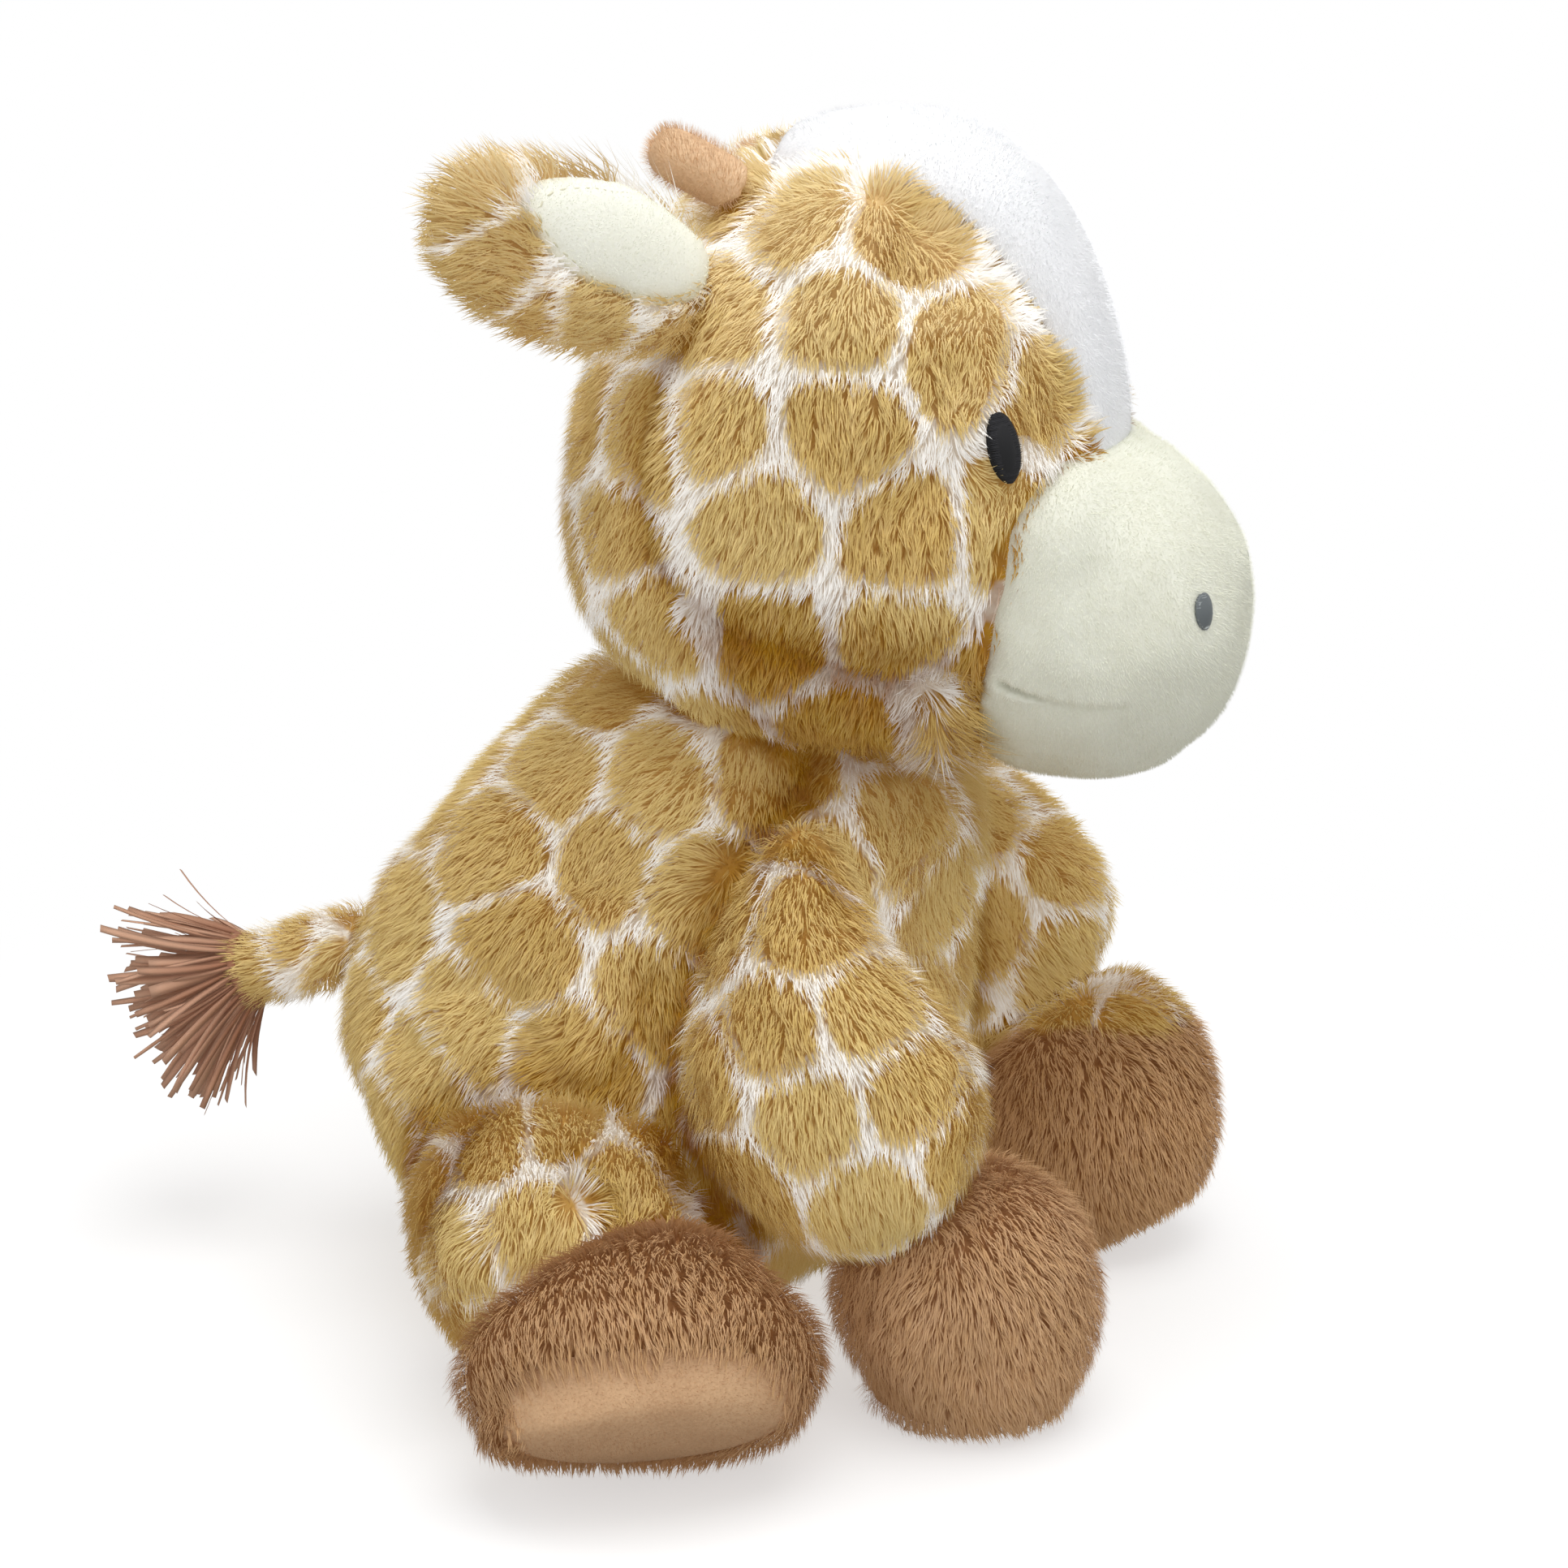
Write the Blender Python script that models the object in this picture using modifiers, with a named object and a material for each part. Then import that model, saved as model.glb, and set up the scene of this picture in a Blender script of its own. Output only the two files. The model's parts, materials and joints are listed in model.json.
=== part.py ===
"""Seated plush giraffe: stuffed body, head, ears, legs and tail, each its own closed form.

The animal faces -Y, its right side is -X, up is +Z, and it sits on the plane z = 0.
Every soft form is a lofted cage with a Subdivision Surface. A smaller form is cut by a
slightly swollen copy of the larger one beside it, grown to hold every pose of their joint.
"""
import math

import bmesh
import bpy
from mathutils import Matrix, Vector
from mathutils.bvhtree import BVHTree

# Driving dimensions, metres
toy_height = 0.300
seam_gap = 0.0003
sweep_margin = 0.0003
fabric_lift = 0.0003
blaze_thickness = 0.0018
stitch_thickness = 0.0012
lining_thickness = 0.0012
sole_thickness = 0.0045
sole_round = 0.0016

# Tables below are in pattern steps, three hundredths of the height
steps_in_height_shares = 300
step = toy_height / steps_in_height_shares

# Turns that each joint has room for, degrees
neck_low, neck_high = -10, 10
front_leg_low, front_leg_high = 0, 20
rear_leg_low, rear_leg_high = 0, 14
ear_low, ear_high = -12, 12
tail_low, tail_high = -12, 12
turn_step = 4
# Cuts across each face of a form that is swept to make a cutter
neck_splits = 2
shoulder_splits = 1
hip_splits = 3
ear_splits = 1
tail_splits = 3
weld_shares = (1 / 20, 1 / 100, 1 / 1000, 0)

# Joint points, pattern steps
neck_point_shares = (0, -6, 126)
shoulder_point_shares = (-50, -38, 124)
hip_point_shares = (-44, 30, 50)
ear_point_shares = (-52, -3, 262)
tail_point_shares = (0, 92, 82)

# Rings of the soft forms: forward centre, height, half width, half depth, fullness
body_ring_shares = (
    (19, -3, 42, 35, 2.0),
    (19, 14, 61, 54, 2.1),
    (20, 40, 70, 73, 2.1),
    (20, 72, 70, 79, 2.1),
    (13, 100, 64, 76, 2.1),
    (4, 124, 56, 71, 2.1),
    (-2, 145, 47, 59, 2.0),
    (-3, 161, 33, 40, 2.0),
    (-5, 168, 14, 17, 2.0),
)
head_ring_shares = (
    (-36, 143, 18, 20, 2.0),
    (-35, 150, 37, 38, 2.1),
    (-29, 166, 52, 54, 2.3),
    (-28, 186, 60, 63, 2.5),
    (-30, 209, 63, 65, 2.4),
    (-32, 232, 62, 64, 2.2),
    (-32, 255, 57, 58, 2.1),
    (-36, 275, 46, 45, 2.0),
    (-40, 289, 29, 28, 2.0),
    (-41, 295, 12, 12, 2.0),
)
# Muzzle: forward position, centre height, half width, half height, fullness
muzzle_ring_shares = (
    (-52, 184, 30, 28, 2.0),
    (-64, 184, 42, 39, 2.1),
    (-82, 184, 46, 42, 2.1),
    (-101, 184, 45, 41, 2.1),
    (-116, 183, 36, 33, 2.1),
    (-125, 182, 22, 21, 2.0),
    (-128, 182, 9, 9, 2.0),
)
# Front leg, then hoof: centre, half length fore and aft, half thickness
front_leg_ring_shares = (
    ((-52, -34, 146), 8, 7),
    ((-58, -37, 136), 13, 12),
    ((-66, -38, 115), 25, 20),
    ((-70, -42, 94), 36, 27),
    ((-70, -50, 75), 38, 29),
    ((-65, -60, 60), 31, 27),
    ((-63, -64, 54), 15, 14),
)
front_hoof_ring_shares = (
    ((-62, -64, 58), 13, 13),
    ((-61, -66, 53), 29, 26),
    ((-57, -74, 40), 34, 30),
    ((-53, -75, 24), 34, 30),
    ((-50, -70, 10), 28, 25),
    ((-49, -66, 1), 18, 16),
)
front_sole_shares = ((-49, -66), 21, 17)
# The left front leg is sewn tilted: it turns about this point by these degrees
front_left_pivot_shares = (0, -50, 71)
front_left_tilt = -11
# Rear leg, then hoof: centre, half length along the foot, half height
rear_leg_ring_shares = (
    ((-26, 36, 48), 20, 20),
    ((-38, 29, 48), 35, 33),
    ((-60, 21, 47), 40, 38),
    ((-82, 9, 45), 40, 37),
    ((-98, 1, 41), 37, 31),
    ((-102, -2, 39), 18, 16),
)
rear_hoof_ring_shares = (
    ((-97, 0, 42), 16, 15),
    ((-101, -5, 40), 38, 30),
    ((-110, -12, 34), 45, 34),
    ((-119, -17, 27), 44, 31),
    ((-125, -19, 22), 33, 23),
)
rear_sole_shares = ((-124, -18, 18.6), 38, 25)
rear_foot_turn = 27
rear_sole_drop = 45

# Ear: share of its length, half width, half thickness
ear_tip_shares = (-94, 39, 286)
ear_root_shares = (-46, -9, 258)
ear_face_shares = (-0.76, -0.63, 0.10)
ear_ring_shares = (
    (0.00, 11, 6.0),
    (0.10, 15, 7.0),
    (0.32, 20, 7.5),
    (0.58, 21, 7.0),
    (0.80, 16, 6.0),
    (0.94, 7, 4.0),
)
ear_lining_place_share = 0.36
ear_lining_rise_shares = 5.5
ear_lining_half_length_shares = 24
ear_lining_half_width_shares = 13
ear_reach_shares = 20
ear_left_droop = 50

# Blaze: angle up from straight ahead, half width
blaze_ring_shares = (
    (-6, 18), (14, 19), (32, 22), (48, 26), (64, 30), (80, 31), (94, 29), (104, 20),
)
blaze_reach_shares = (30, 110)
head_middle_shares = (0, -30, 218)

# Horns: root, tip, half thickness
horn_right_shares = ((-27, -17, 274), (-31, 4, 293))
horn_left_shares = ((30, -11, 271), (46, 8, 275))
horn_half_thickness_shares = (5.0, 5.6, 5.6, 4.6)
horn_place_shares = (0.0, 0.35, 0.78, 1.0)

# Embroidery: middle on the surface, half width, half height
eye_shares = ((-45, -79, 230), 4.6, 8.8)
eye_facing_shares = (-0.72, -0.70, 0.08)
nostril_shares = ((-24, -120, 189), 3.4, 4.7)
nostril_facing_shares = (-0.36, -0.92, 0.12)
embroidery_reach_shares = 14

# Tail and tassel: forward position, height, half thickness
tail_ring_shares = (
    (78, 84, 7),
    (84, 83, 11),
    (98, 80, 11.5),
    (112, 75.5, 12),
    (123, 72, 11.5),
    (128, 70, 7),
)
tassel_plug_radius_shares = 9
tassel_plug_length_shares = 6.5
tassel_plug_lead_share = 0.2
tassel_root_share = 0.45
tassel_strip_length_shares = 31
tassel_strip_width_shares = 2.8
tassel_strip_thickness_shares = 0.9
tassel_tip_width_share = 1.35
tassel_strip_place_shares = (0, 0.35, 1)
tassel_first_lean_share = 0.4
# Tassel rows: number of strips, root radius, lean from the tail's line in degrees
tassel_row_shares = ((2, 1.6, 8), (7, 4.2, 26), (12, 7.2, 46))
tassel_droop = 9

sides = 12
small_sides = 10
levels = 1
stitch_sides = 20
sole_sides = 24

right = Vector((-1, 0, 0))
forward = Vector((0, -1, 0))
up = Vector((0, 0, 1))


def place(shares):
    """A point given in pattern steps, in metres."""
    return Vector(shares) * step


def other_side(point):
    """The mirrored place on the other side of the toy."""
    return (-point[0], point[1], point[2])


for old in list(bpy.data.objects):
    bpy.data.objects.remove(old, do_unlink=True)

parts = bpy.data.collections.new("plush_giraffe")
bpy.context.scene.collection.children.link(parts)


def material(name, colour, roughness):
    """A plain Principled fabric in one colour."""
    made = bpy.data.materials.new(name)
    made.use_nodes = True
    shader = made.node_tree.nodes["Principled BSDF"]
    shader.inputs["Base Color"].default_value = (*colour, 1)
    shader.inputs["Roughness"].default_value = roughness
    made.diffuse_color = (*colour, 1)
    return made


fur = material("giraffe_fur", (0.62, 0.40, 0.16), 0.95)
cream = material("cream_plush", (0.82, 0.80, 0.60), 0.9)
white = material("white_plush", (0.88, 0.90, 0.95), 0.9)
peach = material("peach_plush", (0.66, 0.42, 0.25), 0.9)
brown = material("brown_fur", (0.38, 0.20, 0.11), 0.95)
tan = material("tan_sole", (0.52, 0.31, 0.17), 0.9)
felt = material("brown_felt", (0.33, 0.15, 0.10), 0.9)
black = material("black_thread", (0.01, 0.01, 0.012), 0.5)
grey = material("grey_thread", (0.25, 0.27, 0.28), 0.4)


def new_object(name, mesh, finish=None):
    """A smooth shaded object in the part's collection."""
    made = bpy.data.objects.new(name, mesh)
    parts.objects.link(made)
    if finish is not None:
        mesh.materials.append(finish)
    mesh.polygons.foreach_set("use_smooth", [True] * len(mesh.polygons))
    return made


def settle(target):
    """Swaps an object's mesh for the one its modifiers make."""
    graph = bpy.context.evaluated_depsgraph_get()
    made = bpy.data.meshes.new_from_object(target.evaluated_get(graph))
    old = target.data
    made.name = target.name
    target.modifiers.clear()
    target.data = made
    bpy.data.meshes.remove(old)
    return target


def drop(*objects):
    for gone in objects:
        bpy.data.objects.remove(gone, do_unlink=True)


def copy_of(source, name, matrix=None):
    mesh = source.data.copy()
    if matrix is not None:
        mesh.transform(matrix)
    made = bpy.data.objects.new(name, mesh)
    parts.objects.link(made)
    return made


def ring_points(centre, normal, across, half_across, half_other, fullness, count):
    """One closed ring: fullness 2 is an ellipse, more is nearer to a rounded square."""
    normal = normal.normalized()
    first = (across - normal * across.dot(normal)).normalized()
    second = normal.cross(first)
    pull = (4 + 2 * math.cos(math.tau / count)) / 6
    power = 2 / fullness
    points = []
    for corner in range(count):
        turn = math.tau * corner / count
        c, s = math.cos(turn), math.sin(turn)
        a = math.copysign(abs(c) ** power, c) * half_across / pull
        b = math.copysign(abs(s) ** power, s) * half_other / pull
        points.append(centre + first * a + second * b)
    return points


def loft(name, rings, finish, smooth_levels=levels):
    """Rings bridged by quads, closed at both ends, then a Subdivision Surface."""
    cage = bmesh.new()
    rows = [[cage.verts.new(p) for p in ring] for ring in rings]
    count = len(rows[0])
    for low, high in zip(rows, rows[1:]):
        for i in range(count):
            j = (i + 1) % count
            cage.faces.new((low[i], low[j], high[j], high[i]))
    cage.faces.new(list(reversed(rows[0])))
    cage.faces.new(rows[-1])
    bmesh.ops.recalc_face_normals(cage, faces=cage.faces)
    mesh = bpy.data.meshes.new(name)
    cage.to_mesh(mesh)
    cage.free()
    made = new_object(name, mesh, finish)
    if smooth_levels:
        smooth = made.modifiers.new("smooth", "SUBSURF")
        smooth.levels = smooth.render_levels = smooth_levels
        settle(made)
    return made


def swollen(source, amount, matrix=None):
    """A copy pushed outwards along its normals, for cutting with clearance."""
    made = copy_of(source, source.name + "_swollen", matrix)
    push = made.modifiers.new("push", "DISPLACE")
    push.mid_level = 0
    push.strength = amount
    return settle(made)


def carve(target, cutter, operation="DIFFERENCE"):
    cut = target.modifiers.new("cut", "BOOLEAN")
    cut.operation = operation
    cut.solver = "EXACT"
    cut.object = cutter
    settle(target)
    return tidy(target)


def largest_body(made):
    """Deletes every separate body of a mesh but the one with most corners."""
    left = set(made.verts)
    bodies = []
    while left:
        grown, body = [left.pop()], []
        while grown:
            vert = grown.pop()
            body.append(vert)
            for edge in vert.link_edges:
                other = edge.other_vert(vert)
                if other in left:
                    left.remove(other)
                    grown.append(other)
        bodies.append(body)
    bodies.sort(key=len)
    for body in bodies[:-1]:
        bmesh.ops.delete(made, geom=body, context="VERTS")


def tidy(target):
    """Merges the doubles a cut leaves, by the widest distance that keeps the form closed."""
    for share in weld_shares:
        made = bmesh.new()
        made.from_mesh(target.data)
        bmesh.ops.remove_doubles(made, verts=made.verts, dist=seam_gap * share)
        bmesh.ops.dissolve_degenerate(made, edges=made.edges, dist=seam_gap * share)
        bmesh.ops.triangulate(made, faces=made.faces)
        largest_body(made)
        closed = all(len(edge.link_faces) == 2 for edge in made.edges)
        if closed or share == weld_shares[-1]:
            made.to_mesh(target.data)
            made.free()
            break
        made.free()
    target.data.polygons.foreach_set("use_smooth", [True] * len(target.data.polygons))
    return target


def tree_of(target):
    return BVHTree.FromPolygons(
        [v.co for v in target.data.vertices], [p.vertices for p in target.data.polygons])


def turns(low, high):
    """Angles from the low to the high end of a range, and rest."""
    count = max(1, math.ceil((high - low) / turn_step))
    angles = {low + (high - low) * i / count for i in range(count + 1)}
    return sorted(angles | {0})


def about(point, axis, angle):
    """The turn of one joint as a matrix."""
    here = place(point)
    return (Matrix.Translation(here) @ Matrix.Rotation(math.radians(angle), 4, axis)
            @ Matrix.Translation(-here))


def swept(larger, moves, splits):
    """A swollen copy that holds the form in every pose, found along rays from its middle."""
    cutter = swollen(larger, seam_gap)
    if len(moves) == 1:
        return cutter
    if splits:
        fine = bmesh.new()
        fine.from_mesh(cutter.data)
        bmesh.ops.subdivide_edges(fine, edges=fine.edges, cuts=splits, use_grid_fill=True)
        bmesh.ops.triangulate(fine, faces=fine.faces)
        fine.to_mesh(cutter.data)
        fine.free()
    cloud = [v.co for v in cutter.data.vertices]
    middle = sum(cloud, Vector()) / len(cloud)
    faces = [p.vertices[:] for p in cutter.data.polygons]
    trees = [BVHTree.FromPolygons([matrix @ co for co in cloud], faces) for matrix in moves]
    for vert in cutter.data.vertices:
        way = (vert.co - middle).normalized()
        farthest = (vert.co - middle).length
        for tree in trees:
            hit = tree.ray_cast(middle + way * toy_height, -way)[0]
            if hit is not None:
                farthest = max(farthest, (hit - middle).dot(way))
        vert.co = middle + way * (farthest + sweep_margin)
    return cutter


def cut_through_range(target, larger, moves=(Matrix.Identity(4),), splits=0):
    """Cuts the target by the larger form in every pose the two can take."""
    cutter = swept(larger, moves, splits)
    if tree_of(target).overlap(tree_of(cutter)):
        carve(target, cutter)
    drop(cutter)
    return target


def flat_below(target, height):
    """Cuts away what lies below a height."""
    wide = 2 * toy_height
    bpy.ops.mesh.primitive_cube_add(size=wide)
    block = bpy.context.object
    block.data.transform(Matrix.Translation((0, 0, height - wide / 2)))
    carve(target, block)
    drop(block)
    return target


def mirrored(source, name):
    mesh = source.data.copy()
    mesh.transform(Matrix.Scale(-1, 4, (1, 0, 0)))
    mesh.flip_normals()
    mesh.name = name
    made = bpy.data.objects.new(name, mesh)
    parts.objects.link(made)
    return made


def oval_cutter(centre, facing, up_hint, half_wide, half_high, reach):
    """An oval prism from a middle outwards along a direction."""
    facing = facing.normalized()
    across = facing.cross(up_hint).normalized()
    upward = across.cross(facing)
    ring = []
    for corner in range(stitch_sides):
        turn = math.tau * corner / stitch_sides
        ring.append(across * math.cos(turn) * half_wide + upward * math.sin(turn) * half_high)
    rows = [[centre + facing * out + p for p in ring] for out in (-reach, reach)]
    return loft("oval_cutter", rows, None, 0)


def patch(name, base, cutter, thickness, finish):
    """A thin layer that follows a form: outer skin, trimmed to an outline, less the form."""
    made = swollen(base, fabric_lift + thickness)
    made.name = name
    carve(made, cutter, "INTERSECT")
    inner = swollen(base, fabric_lift)
    carve(made, inner)
    drop(inner)
    made.data.materials.clear()
    made.data.materials.append(finish)
    made.data.name = name
    return made


# Body: horizontal rings from the seat to the neck, flat where it sits
rings = [ring_points(place((0, y, z)), up, right, wide * step, deep * step, full, sides)
         for y, z, wide, deep, full in body_ring_shares]
body = loft("body", rings, fur)
flat_below(body, 0)

# Head: horizontal rings from the jaw to the crown, hollowed where it sits on the body
rings = [ring_points(place((0, y, z)), up, right, wide * step, deep * step, full, sides)
         for y, z, wide, deep, full in head_ring_shares]
head = loft("head", rings, fur)
head_form = copy_of(head, "head_form")
neck_turns = turns(neck_low, neck_high)
neck_moves = [about(neck_point_shares, "X", -a) for a in neck_turns]
cut_through_range(head, body, neck_moves, neck_splits)

# Muzzle: upright rings towards the front, sewn on the face
rings = [ring_points(place((0, y, z)), forward, right, wide * step, high * step, full, sides)
         for y, z, wide, high, full in muzzle_ring_shares]
muzzle = loft("muzzle", rings, cream)
muzzle_form = copy_of(muzzle, "muzzle_form")
cut_through_range(muzzle, head_form)

# Blaze: white panel from the muzzle over the forehead to the crown
middle = place(head_middle_shares)
near, far = (reach * step for reach in blaze_reach_shares)
rings = []
for angle, wide in blaze_ring_shares:
    out = Vector((0, -math.cos(math.radians(angle)), math.sin(math.radians(angle))))
    half = right * wide * step
    rings.append([middle + out * near - half, middle + out * near + half,
                  middle + out * far + half, middle + out * far - half])
wedge = loft("wedge", rings, None, 0)
blaze = patch("blaze", head_form, wedge, blaze_thickness, white)
cut_through_range(blaze, muzzle_form)
drop(wedge)

# Eyes and nostrils: raised ovals of embroidery
def embroidery(name, base, shares, facing, finish):
    spot, wide, high = shares
    cutter = oval_cutter(place(spot), Vector(facing), up, wide * step, high * step,
                         embroidery_reach_shares * step)
    made = patch(name, base, cutter, stitch_thickness, finish)
    drop(cutter)
    return made


eye_right = embroidery("eye_right", head_form, eye_shares, eye_facing_shares, black)
nostril_right = embroidery(
    "nostril_right", muzzle_form, nostril_shares, nostril_facing_shares, grey)
eye_left = mirrored(eye_right, "eye_left")
nostril_left = mirrored(nostril_right, "nostril_left")


# Horns: blunt little stuffed cylinders
def horn(name, ends):
    root, tip = (place(end) for end in ends)
    line = tip - root
    rings = []
    for share, thick in zip(horn_place_shares, horn_half_thickness_shares):
        rings.append(ring_points(root + line * share, line, up, thick * step, thick * step,
                                 2, small_sides))
    made = loft(name, rings, peach)
    cut_through_range(made, head_form)
    return cut_through_range(made, blaze)


horn_right = horn("horn_right", horn_right_shares)
horn_left = horn("horn_left", horn_left_shares)

# Ears: flat leaves with a smooth lining on the front face
root, tip = place(ear_root_shares), place(ear_tip_shares)
line = tip - root
face = Vector(ear_face_shares)
face = (face - line.normalized() * face.dot(line.normalized())).normalized()
ear_across = line.normalized().cross(face)
rings = [ring_points(root + line * share, line, ear_across, wide * step, thick * step, 2, sides)
         for share, wide, thick in ear_ring_shares]
ear_form = loft("ear_form", rings, fur)
ear_lining_rise = ear_across * ear_lining_rise_shares * step
ear_reach = ear_reach_shares * step
cutter = oval_cutter(
    root + line * ear_lining_place_share + ear_lining_rise + face * ear_reach, face, line,
    ear_lining_half_width_shares * step, ear_lining_half_length_shares * step, ear_reach)
lining_form = patch("lining_form", ear_form, cutter, lining_thickness, cream)
drop(cutter)


def ear_pair(side, droop):
    """An ear and its lining: the right one as shaped, the left one mirrored and drooping."""
    ear, lining = copy_of(ear_form, "ear_" + side), copy_of(lining_form, "ear_lining_" + side)
    axis, point = ear_across, ear_point_shares
    if side == "left":
        fold = about(other_side(ear_point_shares), forward, -droop)
        flip = fold @ Matrix.Scale(-1, 4, (1, 0, 0))
        for piece in (ear, lining):
            piece.data.transform(flip)
            piece.data.flip_normals()
        axis, point = (flip.to_3x3() @ ear_across).normalized(), other_side(point)
    moves = [about(point, axis, -a) for a in turns(ear_low, ear_high)]
    for piece in (ear, lining):
        cut_through_range(piece, head_form, moves, ear_splits)
        piece.data.name = piece.name
    return ear, lining, axis


ear_right, ear_lining_right, ear_right_axis = ear_pair("right", 0)
ear_left, ear_lining_left, ear_left_axis = ear_pair("left", ear_left_droop)
drop(ear_form, lining_form)


# Legs: swelling forms that end in a hoof and a flat sole
def limb_rings(table, across):
    centres = [place(centre) for centre, wide, thick in table]
    rings = []
    for i, (centre, wide, thick) in enumerate(table):
        low, high = max(0, i - 1), min(len(table) - 1, i + 1)
        rings.append(ring_points(centres[i], centres[high] - centres[low], across,
                                 wide * step, thick * step, 2, sides))
    return rings


def sole(name, centre, facing, long_way, half_long, half_wide):
    """An oval pad with a rounded edge: a scaled cylinder with a Bevel."""
    bpy.ops.mesh.primitive_cylinder_add(vertices=sole_sides, radius=1, depth=sole_thickness)
    made = bpy.context.object
    made.name = made.data.name = name
    made.scale = (half_long, half_wide, 1)
    bpy.ops.object.transform_apply(location=False, rotation=False, scale=True)
    edge = made.modifiers.new("edge", "BEVEL")
    edge.width = sole_round
    edge.segments = 2
    edge.limit_method = "ANGLE"
    settle(made)
    long_way = long_way.normalized()
    side = facing.cross(long_way).normalized()
    turn = Matrix((long_way, side, facing)).transposed().to_4x4()
    made.data.transform(Matrix.Translation(centre) @ turn)
    made.data.materials.append(tan)
    made.data.polygons.foreach_set("use_smooth", [True] * len(made.data.polygons))
    for home in list(made.users_collection):
        home.objects.unlink(made)
    parts.objects.link(made)
    return made


def half_space(point, facing):
    """A block that fills the side of a plane its facing points to."""
    wide = toy_height
    bpy.ops.mesh.primitive_cube_add(size=wide)
    block = bpy.context.object
    block.data.transform(Matrix.Translation((0, 0, wide / 2)))
    turn = up.rotation_difference(facing).to_matrix().to_4x4()
    block.data.transform(Matrix.Translation(point) @ turn)
    return block


def rest_on_sole(hoof, centre, facing):
    """Trims a hoof flat behind its sole."""
    block = half_space(centre - facing * (sole_thickness / 2 + seam_gap), facing)
    carve(hoof, block)
    drop(block)


front_leg_right = loft("front_leg_right", limb_rings(front_leg_ring_shares, forward), fur)
front_hoof_right = loft("front_hoof_right", limb_rings(front_hoof_ring_shares, forward), brown)
rear_long_way = Vector((math.sin(math.radians(rear_foot_turn)),
                        -math.cos(math.radians(rear_foot_turn)), 0))
outward = Vector((-rear_long_way.y, rear_long_way.x, 0)) * -1
rear_facing = (outward * math.cos(math.radians(rear_sole_drop))
               - up * math.sin(math.radians(rear_sole_drop)))
rear_leg_right = loft("rear_leg_right", limb_rings(rear_leg_ring_shares, rear_long_way), fur)
rear_hoof_right = loft(
    "rear_hoof_right", limb_rings(rear_hoof_ring_shares, rear_long_way), brown)

(spot, half_long, half_wide) = front_sole_shares
front_sole_centre = place((*spot, 0)) + up * sole_thickness / 2
front_sole_right = sole("front_sole_right", front_sole_centre, -up, forward,
                        half_long * step, half_wide * step)
rest_on_sole(front_hoof_right, front_sole_centre, -up)

(spot, half_long, half_wide) = rear_sole_shares
rear_sole_centre = place(spot)
rear_sole_right = sole("rear_sole_right", rear_sole_centre, rear_facing, rear_long_way,
                       half_long * step, half_wide * step)
rest_on_sole(rear_hoof_right, rear_sole_centre, rear_facing)
for low in (rear_leg_right, rear_hoof_right, rear_sole_right):
    flat_below(low, 0)

# Joint axes of the legs: each swings up, the front one forwards and the rear one outwards
shoulder_axis = right
hip_axis = -rear_long_way

front_turns = turns(front_leg_low, front_leg_high)
rear_turns = turns(rear_leg_low, rear_leg_high)
front_body = [about(shoulder_point_shares, shoulder_axis, -a) for a in front_turns]
rear_body = [about(hip_point_shares, hip_axis, -a) for a in rear_turns]
front_head = [about(shoulder_point_shares, shoulder_axis, -a)
              @ about(neck_point_shares, "X", b) for a in front_turns for b in neck_turns]

cut_through_range(front_leg_right, front_hoof_right)
cut_through_range(rear_leg_right, rear_hoof_right)
cut_through_range(rear_leg_right, body, rear_body, hip_splits)
cut_through_range(rear_hoof_right, body, rear_body, hip_splits)

front_leg_left = mirrored(front_leg_right, "front_leg_left")
front_hoof_left = mirrored(front_hoof_right, "front_hoof_left")
front_sole_left = mirrored(front_sole_right, "front_sole_left")
rear_leg_left = mirrored(rear_leg_right, "rear_leg_left")
rear_hoof_left = mirrored(rear_hoof_right, "rear_hoof_left")
rear_sole_left = mirrored(rear_sole_right, "rear_sole_left")
for piece in (front_leg_left, front_hoof_left, front_sole_left):
    piece.data.transform(about(front_left_pivot_shares, "X", front_left_tilt))

for leg, hoof in ((front_leg_right, front_hoof_right), (front_leg_left, front_hoof_left)):
    cut_through_range(leg, body, front_body, shoulder_splits)
    cut_through_range(hoof, body, front_body, shoulder_splits)
    cut_through_range(leg, head, front_head, shoulder_splits)
rear_front = [about(hip_point_shares, hip_axis, -a)
              @ about(shoulder_point_shares, shoulder_axis, b)
              for a in rear_turns for b in front_turns]
flip = Matrix.Scale(-1, 4, (1, 0, 0))
rear_front_left = [flip @ matrix @ flip for matrix in rear_front]
for leg, hoof, front, moves in (
        (rear_leg_right, rear_hoof_right, front_leg_right, rear_front),
        (rear_leg_left, rear_hoof_left, front_leg_left, rear_front_left)):
    cut_through_range(leg, front, moves, hip_splits)
    cut_through_range(hoof, front, moves, hip_splits)

# Tail: a short stuffed tube, and a tassel of flat felt strips bound in its end
rings = []
for i, (y, z, thick) in enumerate(tail_ring_shares):
    low, high = max(0, i - 1), min(len(tail_ring_shares) - 1, i + 1)
    line = place((0, *tail_ring_shares[high][:2])) - place((0, *tail_ring_shares[low][:2]))
    rings.append(ring_points(place((0, y, z)), line, right, thick * step, thick * step,
                             2, sides))
tail = loft("tail", rings, fur)
tail_form = copy_of(tail, "tail_form")
tail_end = place((0, *tail_ring_shares[-1][:2]))
plug_length = tassel_plug_length_shares * step
tail_line = (tail_end - place((0, *tail_ring_shares[-2][:2]))).normalized()
cut_through_range(tail, body, [about(tail_point_shares, -right, -a)
                               for a in turns(tail_low, tail_high)], tail_splits)


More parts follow.
